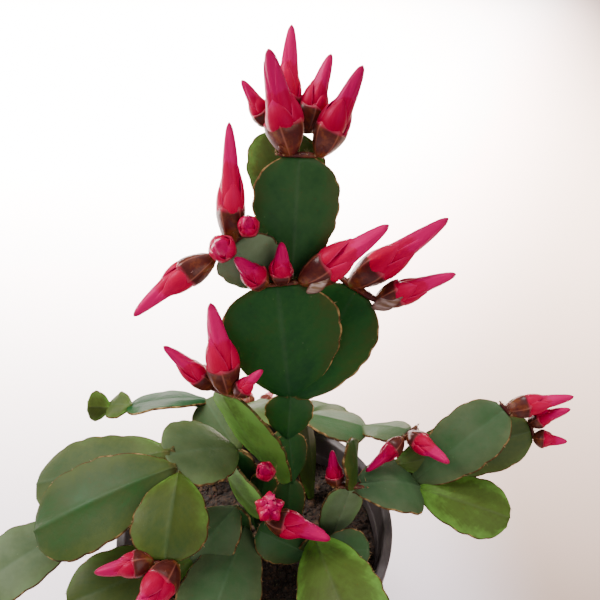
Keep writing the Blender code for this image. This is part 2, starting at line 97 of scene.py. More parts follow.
# Stem segments
EDGE_HALF = 0.42  # half a segment's thickness at its margin
EDGE_OUT = 0.3  # how far the corky edge stands out
RIB_HALF = 1.3  # half its thickness along the middle
BASE_SWELL = 0.9  # how much more that is at the base
NOTCH = 0.45  # how far the margin dips at an areole
LOBE = 0.6  # how far it swells between two areoles
LOBE_START = 0.06  # the share of the length where the margin's lobes begin
NOTCH_START = 0.25  # the share of the length past which the notches lie
NOTCH_SPAN = 0.62  # the share of the length that they take
STEM_SINK = 2.0  # how far a stem's first segment goes on below its base
JOINT_SINK = 1.0  # how far a later segment's base goes into the one below it
LAST_JOINT = 0.97  # the furthest share of a segment's length at which another grows
JOINT_SPREAD = 0.8  # the share of the half width that a joint may stand to the side
NECK_SHARE = 0.08  # of the length, over which a segment narrows to its joint
NECK_PINCH = 0.35  # by how much it has narrowed at its base
NECK_MOST = 1.7  # how many times that it may narrow inside the joint
END_OUT = 0.35  # how far the end bulges past the last row
FULL_WIDTH = 20.0  # a narrower segment has a lower crease and lower lobes
TWIST = 0.18  # radians that a segment turns over its length, either way
CUPPING = (-0.05, 0.02)  # shares of the width by which the sides curve back or forward
WAVE = (0.3, 0.7)  # mm by which the sides wave
SKIN_ROWS = 24
ROWS_PER_MM = 1.25
SKIN_COLUMNS = (0.0, 0.05, 0.12, 0.24, 0.38, 0.52, 0.66, 0.78, 0.88, 0.95, 0.985, 1.0)

# Tufts of felt and bristles
BRISTLES = 3
BRISTLE_HALF = 0.06
BRISTLE_SHORTEST = 0.45  # of the longest
BRISTLE_TIP = 0.12  # of the width at its foot
FELT_HEIGHT = 0.6  # of its width
AREOLE_OUT = 0.15
BARE_END_WIDTH = 13.0  # a segment as wide as this has tufts on its end where nothing grows from it

# Each kind of tuft: how long its bristles are, how far they spread, half its felt's width, and its seed
NOTCH_TUFTS = (1.3, 0.6, 0.34, 4)
BUNCH_TUFTS = (2.4, 0.5, 0.4, 8)
BUNCH_ROWS = 7  # places with bristles along a bunch's bar

# Buds
CUP_SHARE = 0.33  # the share of a bud's length that its cup covers
CUP_ZIGZAG = 0.03  # the share by which the cup's rim goes up and down
CUP_COLUMNS = 50
DISH_SHARE = 0.23  # where in the cup its dish lies
FOOT_LIFT = 0.8  # how far a bud's foot stands off the segment's end
GIRTH_LEAST = 3.2  # a bud's girth is this much and a share of its length
GIRTH_SHARE = 0.18
SPIRAL = 0.5  # radians that the petals turn over the bud's length
BUD_TURN = 1.2  # the most radians that a bud is turned on its foot
BUD_BEND = (-0.02, 0.035)  # shares of the length by which a bud bends
KEEL_SHARE = 0.075  # of the girth
CONE_ROWS = 34
CONE_COLUMNS = 60
SHEET_ROWS = 14
SHEET_COLUMNS = 10
BAR_LEAST = 3.0  # how far a bunch's felted bar goes to each side, or more where its buds need it
BAR_STOUT = 1.15  # how stout the felted bar is, but for these bunches
STOUT_BARS = {"wing": 1.7}

# Petals and scales are sheets on the bud: the shares of its length between which they lie, the half angle
# that they cover, how far they stand off its body, how far their tip curls out, how thick they are, how late
# they narrow, and how rounded their keel is, 1 being sharp
OUTER_PETAL = {
    "low": 0.24, "high": 0.66, "span": 1.12, "lift": -0.1, "curl": -0.05, "thick": 0.26, "taper": 2.6,
}
LONG_PETAL = {"low": 0.25, "high": 0.9, "span": 1.1, "lift": 0.02, "curl": 0.0, "thick": 0.26, "taper": 2.2}
STAR_PETAL = {
    "low": 0.26, "high": 0.92, "span": 0.64, "lift": -0.1, "curl": 0.5, "thick": 3.0, "taper": 1.7,
    "ridge": 1.0,
}
SEPAL = {"low": 0.25, "high": 0.37, "span": 0.3, "lift": -0.02, "curl": -0.15, "thick": 0.22, "taper": 2.0}
FOOT_SCALE = {"low": 0.03, "high": 0.15, "span": 0.38, "lift": 0.0, "curl": 0.0, "thick": 0.2, "taper": 2.2}
STAR_KEEL = 1.9
SCALE_KEEL = 0.1

# How each is repeated round the bud: how many, how far the first is turned in radians, and by how much chance
# turns and shortens each
OUTER_WHORL = (3, 0.0, 0.3, 0.16)
LONG_WHORL = (3, 0.5, 0.15, 0.1)
STAR_WHORL = (5, 0.2, 0.0, 0.0)
SEPAL_WHORL = (5, 0.0, 0.12, 0.10)
SCALE_WHORL = (3, 0.4, 0.4, 0.1)

# Loose dry scales, by the bunch that has one: which bud it is on, how far across it hangs, how close in, its
# size and how pale it is
DRY_SCALES = {"face": (2, 3.7, 1.3, 5.4, 0.9), "wing": (1, 1.2, 0.4, 7.0, 0.55)}

# Radii as shares of half the bud's girth, against the share of its length: the outer petals, the cone of
# inner petals, and the cup, which has a wall in mm as well
OUTER_BODY = ((0.2, 0.80), (0.28, 0.93), (0.37, 0.99), (0.45, 0.98), (0.53, 0.89), (0.60, 0.74), (0.68, 0.62))
INNER_BODY = (
    (0.2, 0.68), (0.3, 0.80), (0.42, 0.80), (0.54, 0.69), (0.64, 0.60), (0.74, 0.53), (0.84, 0.43),
    (0.92, 0.32), (0.97, 0.21), (1.0, 0.05),
)
CUP_BODY = (
    (0.0, 0.26, 0.30), (0.06, 0.47, 0.5), (0.13, 0.66, 0.7), (0.2, 0.80, 0.8), (0.27, 0.90, 0.75),
    (0.33, 0.94, 0.45),
)

# Camera and lights, in metres: each light's place, aim, size, power in watts and colour
CAMERA_PLACE = (0.0163, -0.1433, 0.2918)
CAMERA_TILT = 54  # degrees up from straight down
CAMERA_LENS = 38.58  # mm
MIDDLE = (0.01, 0.0, 0.14)
LIGHTS = {
    "window": ((-0.85, 0.1, 0.95), MIDDLE, 0.5, 19.0, "#fff8f4"),
    "room": ((0.7, -0.9, 0.7), MIDDLE, 1.2, 11.5, "#fff4ee"),
    "above": ((0.0, 0.2, 1.3), MIDDLE, 1.0, 4.0, "#fbf6ff"),
    "backdrop_wash": ((-0.32, 0.92, 0.9), (-0.32, 0.92, 0.0), 1.5, 125.0, "#fffaf7"),
}
WASH_DEPTH = 1.3
WASH_SPREAD = 52  # degrees
WORLD_STRENGTH = 0.52

# The floor's reach to the sides and the front, and to the back
FLOOR_SIDE = 4000.0
FLOOR_BACK = 6000.0

# From the plant towards the camera, and upwards in its picture
TO_VIEWER = (0.0, -0.8, 0.6)
PICTURE_UP = (0.0, 0.6, 0.8)

# Where each stem leaves the soil
ROOTS = {
    "middle": (12, 4),
    "left": (1, 4),
    "far_left": (-1, 20),
    "right": (27, 1),
    "far_right": (20, 18),
    "front": (21, -10),
    "near_left": (-6, -4),
    "back": (9, 26),
}

# Each segment: stem, name, what it grows from, how far along that and how far to its side (-1 to 1),
# where its end is, its width, the way its flat side looks, how far it arches to that side,
# its green from 0, dark, to 1, bright, partly its own and partly painted light and shade for how it is lit,
# and how much grey bloom it has, partly a painted sheen
SEGMENTS = (
    ("middle", "m1", None, 0, 0, (13, 5, 105), 11, (-0.2, -1, 0), 1, 0.25, 0.2),
    ("middle", "m2", "m1", 1, 0, (12, 9, 124), 13, (0.4, -1, 0), 1, 0.2, 0.1),
    ("middle", "m3", "m2", 1, 0, (13, 12, 140), 16, (0, -1, 0.3), 1, 0.15, 0.05),
    ("middle", "face", "m3", 1, 0, (9.5, 16, 181), 36.5, (0, -1, 0.3), 1, 0.16, 0.0),
    ("middle", "wing", "m3", 1, 0.5, (34, 23, 174), 28, (-0.4, -1, 0.5), 0, 0.18, 0.0),
    ("middle", "spine", "m3", 1, -0.3, (13, 24, 181), 19, (0, -1, 0.6), 0, 0.15, 0.0),
    ("middle", "ear", "spine", 0.9, -0.9, (-3, 19, 194), 20, (0.1, -1, 0.1), 1, 0.5, 1.5),
    ("middle", "crown", "spine", 1, 0.2, (16, 26, 218), 25, (0, -1, 0.3), 0, 0.17, 0.15),
    ("middle", "nape", "spine", 1, -0.5, (10, 31, 197), 16, (0, -1, 0.6), 0, 0.15, 0.1),
    ("middle", "crest", "nape", 1, 0, (13, 35, 222), 23, (-0.1, -1, 0.7), 0, 0.69, 0.15),
    ("middle", "blade", "m1", 1, -0.7, (-7, 4, 148), 25, (-0.85, -0.95, 0.1), 1, 0.95, 0.2),
    ("left", "l1", None, 0, 0, (-1, 5, 101), 10, (-0.5, -1, 0.2), 1, 0.2, 0.1),
    ("left", "l2", "l1", 1, 0, (-5, 4, 121), 12, (-0.5, -1, 0.4), 1, 0.2, 0.1),
    ("left", "shelf", "l2", 1, -0.3, (-26, -8, 132), 27, (-0.1, -0.2, 1), 2, 0.48, 0.6),
    ("left", "palm", "shelf", 1, -0.9, (-65, -24, 116), 28, (-0.2, -0.5, 1), 3, 0.35, 0.1),
    ("left", "thumb", "shelf", 0.95, -1.2, (-22, -39, 125), 22, (0.1, -0.4, 1), 2, 0.53, 0.0),
    ("left", "fan", "shelf", 1, 0.2, (-72, -4, 113), 25, (0, -0.3, 1), 0.5, 0.45, 0.2),
    ("left", "under", "shelf", 0.9, 0.2, (-60, -12, 100), 20, (0, -0.4, 1), 1, 0.3, 0.2),
    ("left", "paddle", "under", 1, 0, (-87, -32, 97), 22, (-0.3, -0.5, 1), 2, 0.5, 0.85),
    ("left", "sickle", "l2", 0.75, -1.1, (5, -14, 112), 15, (-0.7, -0.7, 0.1), 2, 0.9, 0.3),
    ("left", "nub", "l1", 0.8, 0.8, (5, -4, 119), 9, (0, -1, 0.7), 0, 0.2, 0.1),
    ("far_left", "f1", None, 0, 0, (-8, 26, 96), 12, (-0.6, -1, 0.4), 1, 0.3, 0.3),
    ("far_left", "f2", "f1", 1, 0, (-22, 44, 105), 19, (-0.2, -0.5, 1), 1, 0.4, 0.4),
    ("far_left", "f3", "f2", 1, 0, (-53, 42, 103), 22, (0, 0.5, 1), 2, 0.0, 0.0),
    ("far_left", "f4", "f3", 1, 0, (-62, 45, 101), 12, (0, -0.3, 1), 1, 0.5, 0.1),
    ("far_left", "f5", "f4", 1, 0, (-70, 43, 103), 12, (-0.3, -1, 0.6), 0, 0.6, 0.0),
    ("right", "r1", None, 0, 0, (33, -4, 112), 14, (0.2, -1, 0.5), 1, 0.8, 1.4),
    ("right", "r2", "r1", 1, 0.1, (33, 4, 126), 17, (1, -0.4, 0), 1, 0.35, 0.0),
    ("right", "r3", "r1", 1, 0.7, (59, 3, 101), 22, (0.1, -0.1, 1), 3, 0.22, 0.65),
    ("right", "r4", "r3", 1, -0.8, (87, 15, 129), 21, (-0.5, -0.8, 1), 2, 0.3, 0.6),
    ("right", "r5", "r3", 0.75, -1.1, (98, 15, 119), 22, (-0.2, -1, 0.8), 1, 0.5, 0.2),
    ("right", "r6", "r3", 1, 0, (89, -6, 98), 20, (0.1, -0.6, 1), 2, 0.7, 0.0),
    ("far_right", "g1", None, 0, 0, (17, 29, 112), 14, (1, -0.6, 0), 1, 0.5, 0.1),
    ("far_right", "g2", "g1", 1, 0, (41, 25, 108), 24, (0, 0.4, 1), 1, 0.27, 0.5),
    ("far_right", "g3", "g2", 1, 0, (55, 16, 117), 15, (0.1, 0.2, 1), 1, 0.35, 0.8),
    ("front", "n1", None, 0, 0, (21, -12, 95), 11, (0.2, -1, 0.5), 1, 0.3, 0.2),
    ("front", "n2", "n1", 1, 0.2, (35, -54, 100), 27, (-0.2, -0.3, 1), 3, 0.68, 0.0),
    ("front", "n3", "n1", 0.5, -0.6, (2, -12, 99), 15, (0, -0.6, 1), 1, 0.2, 0.2),
    ("front", "n4", "n1", 0.5, 0.6, (40, -14, 91), 14, (0, -0.6, 1), 1, 0.2, 0.4),
    ("near_left", "q1", None, 0, 0, (-5, -6, 103), 10, (-0.5, -1, 0.3), 0, 0.2, 0.2),
    ("near_left", "q2", "q1", 1, -0.3, (-20, -21, 96), 20, (-0.2, -0.5, 1), 1, 0.3, 0.7),
    ("near_left", "q3", "q2", 1, 0, (-57, -35, 94), 23, (-0.3, -0.5, 1), 2, 0.55, 0.1),
    ("near_left", "q4", "q1", 0.6, 0.6, (-14, -56, 97), 26, (0.2, -0.1, 1), 3, 0.3, 0.6),
    ("back", "b1", None, 0, 0, (12, 36, 97), 13, (0, -0.3, 1), 1, 0.3, 0.2),
    ("back", "b2", "b1", 1, 0.3, (36, 62, 80), 22, (0.1, 0.5, 1), 5, 0.4, 0.2),
    ("back", "b3", "b1", 1, -0.4, (-4, 66, 80), 22, (-0.1, 0.5, 1), 5, 0.45, 0.2),
)

# Each bud: the segment it grows on, how far across that segment's end it stands, where its tip is, how
# plump it is for its length, and how deep its red is from 0 to 1, partly its own and partly painted shade for
# how it is lit
BUDS = (
    ("crown", -2.5, (8, 32, 246), 1.25, 0.4),
    ("crown", 5.5, (33, 31, 242), 1.1, 0.44),
    ("crest", -1, (14, 45, 249), 0.95, 0.0),
    ("crest", 5, (25, 42, 242), 1.05, 0.2),
    ("crest", -6, (0, 38, 236), 1.0, 0.15),
    ("ear", -0.5, (-3, 27, 228), 0.82, 0.0),
    ("ear", 6, (2, 9, 208), 0.95, 0.15),
    ("ear", -3, (-6, 6, 202), 1.25, 0.1),
    ("ear", -7, (-33, 8, 176), 1.0, 0.05),
    ("face", -4, (-2, 10, 195), 1.15, 0.3),
    ("face", 1, (11, 17, 196), 1.2, 0.3),
    ("face", 7, (42, 20, 200), 1.1, 0.0),
    ("wing", -3, (60, 24, 200), 1.0, 0.1),
    ("wing", 7, (63, 17, 185), 1.0, 0.1),
    ("blade", 1, (-10, 9, 180), 1.1, 0.0),
    ("blade", -7, (-25, 6, 166), 0.95, 0.0),
    ("blade", 5, (5, 2, 160), 0.95, 0.1),
    ("nub", 0, (5, -11, 131), 1.0, 0.4),
    ("sickle", -2, (8, -21, 125), 1.3, 0.2),
    ("sickle", 2, (26, -22, 109), 1.2, 0.1),
    ("r1", -5, (27, 0, 126), 1.0, 0.45),
    ("g3", 5, (39, 1, 114), 0.9, 0.45),
    ("g3", 1, (66, -2, 122), 1.0, 0.1),
    ("r4", 0, (111, 17, 134), 0.95, 0.1),
    ("r5", -2.5, (109, 13, 132), 0.95, 0.1),
    ("r5", 2.5, (110, 10, 119), 1.1, 0.1),
    ("thumb", 3, (-41, -43, 125), 1.1, 0.35),
    ("thumb", -3, (-29, -58, 124), 1.3, 0.3),
    ("b3", -3, (-10, 82, 77), 0.9, 0.1),
    ("b3", 4, (3, 83, 73), 0.9, 0.1),
)

# The bud that shows five ridged points at its tip
STARRY = "sickle_petals_1"


# Meshes

def linked(name, data):
    """A new object in the scene, with this data."""
    made = bpy.data.objects.new(name, data)
    bpy.context.scene.collection.objects.link(made)
    return made


def mesh_object(name, points, faces, looks, values=None, smooth=True):
    """An object from points in mm. values holds a number for each point under each attribute's name."""
    mesh = bpy.data.meshes.new(name)
    mesh.from_pydata((np.asarray(points, float) * MM).tolist(), [], faces)
    for key, numbers in (values or {}).items():
        mesh.attributes.new(key, "FLOAT", "POINT").data.foreach_set("value", np.asarray(numbers, np.float32))
    shape = bmesh.new()
    shape.from_mesh(mesh)
    bmesh.ops.recalc_face_normals(shape, faces=shape.faces)
    shape.to_mesh(mesh)
    shape.free()
    for look in looks:
        mesh.materials.append(look)
    mesh.polygons.foreach_set("use_smooth", [smooth] * len(mesh.polygons))
    return linked(name, mesh)


def mesh_arrays(mesh):
    """Points in mm, faces and the float attributes of a mesh."""
    points = np.zeros(len(mesh.vertices) * 3)
    mesh.vertices.foreach_get("co", points)
    values = {}
    for layer in mesh.attributes:
        if layer.domain == "POINT" and layer.data_type == "FLOAT" and not layer.name.startswith("."):
            numbers = np.zeros(len(mesh.vertices))
            layer.data.foreach_get("value", numbers)
            values[layer.name] = numbers
    return points.reshape(-1, 3) / MM, [tuple(face.vertices) for face in mesh.polygons], values


def gathered(parts):
    """One set of points, faces and values out of several."""
    points, faces, values, start = [], [], {}, 0
    keys = sorted({key for part in parts for key in part[2]})
    for some, sides, numbers in parts:
        points.append(np.asarray(some, float))
        faces += [tuple(i + start for i in side) for side in sides]
        for key in keys:
            values.setdefault(key, []).append(np.asarray(numbers.get(key, np.zeros(len(some))), float))
        start += len(some)
    return np.concatenate(points), faces, {key: np.concatenate(found) for key, found in values.items()}


def tube_faces(rings, around):
    """Faces over rings of points, closed at both ends."""
    faces = []
    for ring in range(rings - 1):
        for k in range(around):
            a, b = ring * around + k, ring * around + (k + 1) % around
            faces.append((a, b, b + around, a + around))
    faces.append(tuple(range(around - 1, -1, -1)))
    faces.append(tuple((rings - 1) * around + k for k in range(around)))
    return faces


def turned_faces(rings, around):
    """Faces over rings of points that lie between a first and a last point on the axis."""
    faces = []
    last = 1 + (rings - 1) * around
    for k in range(around):
        n = (k + 1) % around
        faces.append((0, 1 + k, 1 + n))
        faces.append((last + around, last + n, last + k))
        for ring in range(rings - 1):
            a, b = 1 + ring * around + k, 1 + ring * around + n
            faces.append((a, a + around, b + around, b))
    return faces


def shell_faces(rows, columns):
    """Faces of a thin shell: a grid of points, another like it behind, and the edge between them."""
    line = columns + 1
    count = (rows + 1) * line
    faces = []
    for i in range(rows):
        for k in range(columns):
            a = i * line + k
            faces.append((a, a + 1, a + 1 + line, a + line))
            faces.append((count + a + line, count + a + 1 + line, count + a + 1, count + a))
    edge = list(range(line)) + [i * line + columns for i in range(1, rows + 1)]
    edge += [rows * line + k for k in range(columns - 1, -1, -1)] + [i * line for i in range(rows - 1, 0, -1)]
    for a, b in zip(edge, edge[1:] + edge[:1]):
        faces.append((a, count + a, count + b, b))
    return faces


def circle(radius, sides):
    """The points of a circle as (x, y)."""
    angles = [math.tau * k / sides for k in range(sides)]
    return [(radius * math.cos(angle), radius * math.sin(angle)) for angle in angles]


def evaluated_mesh(obj):
    """The mesh that an object's modifiers make."""
    bpy.context.view_layer.update()
    graph = bpy.context.evaluated_depsgraph_get()
    return bpy.data.meshes.new_from_object(
        obj.evaluated_get(graph), preserve_all_data_layers=True, depsgraph=graph
    )


# Node trees. A RandomValue's inputs 0 and 1 are its least and greatest vector, 2 and 3 its least and greatest
# number.

def add(tree, kind, inputs=None, out=0, stops=None, **settings):
    """Adds a node with its settings, links or sets its inputs, and returns the chosen output. A kind without
    Node in its name is a shader node, and an input that starts with # is a colour."""
    made = tree.nodes.new(kind if "Node" in kind else "ShaderNode" + kind)
    for name, value in settings.items():
        setattr(made, name, value)
    for key, value in (inputs or {}).items():
        if isinstance(value, bpy.types.NodeSocket):
            tree.links.new(value, made.inputs[key])
        elif isinstance(value, str) and value.startswith("#"):
            made.inputs[key].default_value = hex_colour(value)
        else:
            made.inputs[key].default_value = value
    if stops:
        ramp = made.color_ramp.elements
        while len(ramp) < len(stops):
            ramp.new(0.5)
        for stop, (place, colour) in zip(ramp, stops):
            stop.position = place
            stop.color = hex_colour(colour)
    return made.outputs[out] if len(made.outputs) else made


def new_tree(name, inputs):
    """A geometry node tree with named inputs. Returns the tree and the outputs of its input node by name."""
    tree = bpy.data.node_groups.new(name, "GeometryNodeTree")
    tree.interface.new_socket("Geometry", in_out="INPUT", socket_type="NodeSocketGeometry")
    tree.interface.new_socket("Geometry", in_out="OUTPUT", socket_type="NodeSocketGeometry")
    for label, kind in inputs.items():
        tree.interface.new_socket(label, in_out="INPUT", socket_type="NodeSocket" + kind)
    source = tree.nodes.new("NodeGroupInput")
    return tree, {socket.name: socket for socket in source.outputs if socket.name}


def grown_mesh(obj, tree, **values):
    """The plain mesh that a node tree makes of obj. The modifier doesn't stay."""
    modifier = obj.modifiers.new(tree.name, "NODES")
    modifier.node_group = tree
    for item in tree.interface.items_tree:
        label = item.name.replace(" ", "_").lower()
        if item.item_type == "SOCKET" and item.in_out == "INPUT" and label in values:
            modifier[item.identifier] = values[label]
    obj.update_tag()
    made = evaluated_mesh(obj)
    obj.modifiers.remove(modifier)
    return made


def whorl_tree():
    """Repeats a petal or scale round the Z axis, each turned and shortened a little by chance."""
    tree, given = new_tree("Whorl", {
        "Count": "Int", "Turn": "Float", "Jitter": "Float", "Shorter": "Float", "Seed": "Int",
        "Material": "Material",
    })
    index = add(tree, "GeometryNodeInputIndex")
    points = add(tree, "GeometryNodePoints", {"Count": given["Count"]})
    step = add(tree, "Math", {0: math.tau, 1: given["Count"]}, operation="DIVIDE")
    low = add(tree, "Math", {0: given["Jitter"], 1: -1.0}, operation="MULTIPLY")
    chance = add(tree, "FunctionNodeRandomValue", {
        2: low, 3: given["Jitter"], "ID": index, "Seed": given["Seed"],
    }, out=1, data_type="FLOAT")
    turned = add(tree, "Math", {0: index, 1: step, 2: given["Turn"]}, operation="MULTIPLY_ADD")
    angle = add(tree, "Math", {0: turned, 1: chance}, operation="ADD")
    shortest = add(tree, "Math", {0: 1.0, 1: given["Shorter"]}, operation="SUBTRACT")
    height = add(tree, "FunctionNodeRandomValue", {
        2: shortest, 3: 1.0, "ID": index, "Seed": given["Seed"],
    }, out=1, data_type="FLOAT")
    rotation = add(tree, "CombineXYZ", {"Z": angle})
    scale = add(tree, "CombineXYZ", {"X": 1.0, "Y": 1.0, "Z": height})
    placed = add(tree, "GeometryNodeInstanceOnPoints", {
        "Points": points, "Instance": given["Geometry"], "Rotation": rotation, "Scale": scale,
    })
    real = add(tree, "GeometryNodeRealizeInstances", {"Geometry": placed})
    shown = add(tree, "GeometryNodeSetMaterial", {"Geometry": real, "Material": given["Material"]})
    add(tree, "NodeGroupOutput", {"Geometry": shown})
    return tree


def bristle_tree():
    """A tuft at each point: a felt cushion and thin bristles spread about the point's lean."""
    tree, given = new_tree("Areole tufts", {
        "Bristles": "Int", "Length": "Float", "Thickness": "Float", "Spread": "Float", "Felt": "Float",
        "Seed": "Int", "Bristle material": "Material", "Felt material": "Material",
    })
    lean = add(tree, "GeometryNodeInputNamedAttribute", {"Name": "lean"}, data_type="FLOAT_VECTOR")
    points = add(tree, "GeometryNodeMeshToPoints", {"Mesh": given["Geometry"]})
    many = add(tree, "GeometryNodeDuplicateElements", {
        "Geometry": points, "Amount": given["Bristles"],
    }, domain="POINT")
    low = add(tree, "Math", {0: given["Spread"], 1: -1.0}, operation="MULTIPLY")
    low_corner = add(tree, "CombineXYZ", {"X": low, "Y": low, "Z": low})
    high_corner = add(tree, "CombineXYZ", {
        "X": given["Spread"], "Y": given["Spread"], "Z": given["Spread"],
    })
    chance = add(tree, "FunctionNodeRandomValue", {
        0: low_corner, 1: high_corner, "Seed": given["Seed"],
    }, data_type="FLOAT_VECTOR")
    aim = add(tree, "VectorMath", {0: lean, 1: chance}, operation="ADD")
    rotation = add(tree, "FunctionNodeAlignRotationToVector", {"Vector": aim}, axis="Z")
    short = add(tree, "Math", {0: given["Length"], 1: BRISTLE_SHORTEST}, operation="MULTIPLY")
    reach = add(tree, "FunctionNodeRandomValue", {
        2: short, 3: given["Length"], "Seed": given["Seed"],
    }, out=1, data_type="FLOAT")
    scale = add(tree, "CombineXYZ", {"X": given["Thickness"], "Y": given["Thickness"], "Z": reach})
    hair = add(tree, "GeometryNodeMeshCone", {
        "Vertices": 4, "Radius Top": BRISTLE_TIP, "Radius Bottom": 1.0, "Depth": 1.0,
    })
    tufts = add(tree, "GeometryNodeInstanceOnPoints", {
        "Points": many, "Instance": hair, "Rotation": rotation, "Scale": scale,
    })
    tufts = add(tree, "GeometryNodeSetMaterial", {"Geometry": tufts, "Material": given["Bristle material"]})
    ball = add(tree, "GeometryNodeMeshIcoSphere", {"Radius": 1.0, "Subdivisions": 2})
    flat = add(tree, "FunctionNodeAlignRotationToVector", {"Vector": lean}, axis="Z")
    half = add(tree, "Math", {0: given["Felt"], 1: FELT_HEIGHT}, operation="MULTIPLY")
    cushion = add(tree, "CombineXYZ", {"X": given["Felt"], "Y": given["Felt"], "Z": half})
    felt = add(tree, "GeometryNodeInstanceOnPoints", {
        "Points": points, "Instance": ball, "Rotation": flat, "Scale": cushion,
    })
    felt = add(tree, "GeometryNodeSetMaterial", {"Geometry": felt, "Material": given["Felt material"]})
    both = tree.nodes.new("GeometryNodeJoinGeometry")
    for part in (tufts, felt):
        tree.links.new(part, both.inputs[0])
    real = add(tree, "GeometryNodeRealizeInstances", {"Geometry": both.outputs[0]})
    add(tree, "NodeGroupOutput", {"Geometry": real})
    return tree


def crumb_tree():
    """Scatters lumps over a surface, turned and sized by chance and roughened by noise."""
    tree, given = new_tree("Soil crumbs", {
        "Density": "Float", "Smallest": "Float", "Largest": "Float", "Flatness": "Float",
        "Roughness": "Float", "Seed": "Int", "Material": "Material",
    })
    points = add(tree, "GeometryNodeDistributePointsOnFaces", {
        "Mesh": given["Geometry"], "Density": given["Density"], "Seed": given["Seed"],
    })
    lump = add(tree, "GeometryNodeMeshIcoSphere", {"Radius": 1.0, "Subdivisions": 2})
    rotation = add(tree, "FunctionNodeRandomValue", {
        0: (-CRUMB_TILT, -CRUMB_TILT, 0.0), 1: (CRUMB_TILT, CRUMB_TILT, math.tau), "Seed": given["Seed"],
    }, data_type="FLOAT_VECTOR")
    size = add(tree, "FunctionNodeRandomValue", {
        2: given["Smallest"], 3: given["Largest"], "Seed": given["Seed"],
    }, out=1, data_type="FLOAT")
    narrow = add(tree, "Math", {0: size, 1: CRUMB_WIDTH}, operation="MULTIPLY")
    low = add(tree, "Math", {0: size, 1: given["Flatness"]}, operation="MULTIPLY")
    scale = add(tree, "CombineXYZ", {"X": size, "Y": narrow, "Z": low})
    placed = add(tree, "GeometryNodeInstanceOnPoints", {
        "Points": points, "Instance": lump, "Rotation": rotation, "Scale": scale,
    })
    real = add(tree, "GeometryNodeRealizeInstances", {"Geometry": placed})
    place = add(tree, "GeometryNodeInputPosition")
    noise = add(tree, "TexNoise", {
        "Vector": place, "Scale": per_mm(CRUMB_BUMP), "Detail": 2.0,
    }, out="Color")
    middle = add(tree, "VectorMath", {0: noise, 1: (0.5, 0.5, 0.5)}, operation="SUBTRACT")
    push = add(tree, "VectorMath", {0: middle, "Scale": given["Roughness"]}, operation="SCALE")
    rough = add(tree, "GeometryNodeSetPosition", {"Geometry": real, "Offset": push})
    shown = add(tree, "GeometryNodeSetMaterial", {"Geometry": rough, "Material": given["Material"]})
    add(tree, "NodeGroupOutput", {"Geometry": shown})
    return tree


# Materials. A MapRange's inputs 1 and 2 are the range that comes in, 3 and 4 the one that goes out. A Mix's
# inputs 6 and 7 are its two colours.

def hex_colour(text):
    """An sRGB hex value as linear RGBA."""
    parts = [int(text[i:i + 2], 16) / 255 for i in (1, 3, 5)]
    return (*[c / 12.92 if c <= 0.04045 else ((c + 0.055) / 1.055) ** 2.4 for c in parts], 1.0)


def per_mm(size):
    """A texture scale that gives features of this size in mm."""
    return 1000.0 / size


def new_material(name):
    """An empty material and its node tree."""
    made = bpy.data.materials.new(name)
    made.use_nodes = True
    made.node_tree.nodes.clear()
    return made, made.node_tree


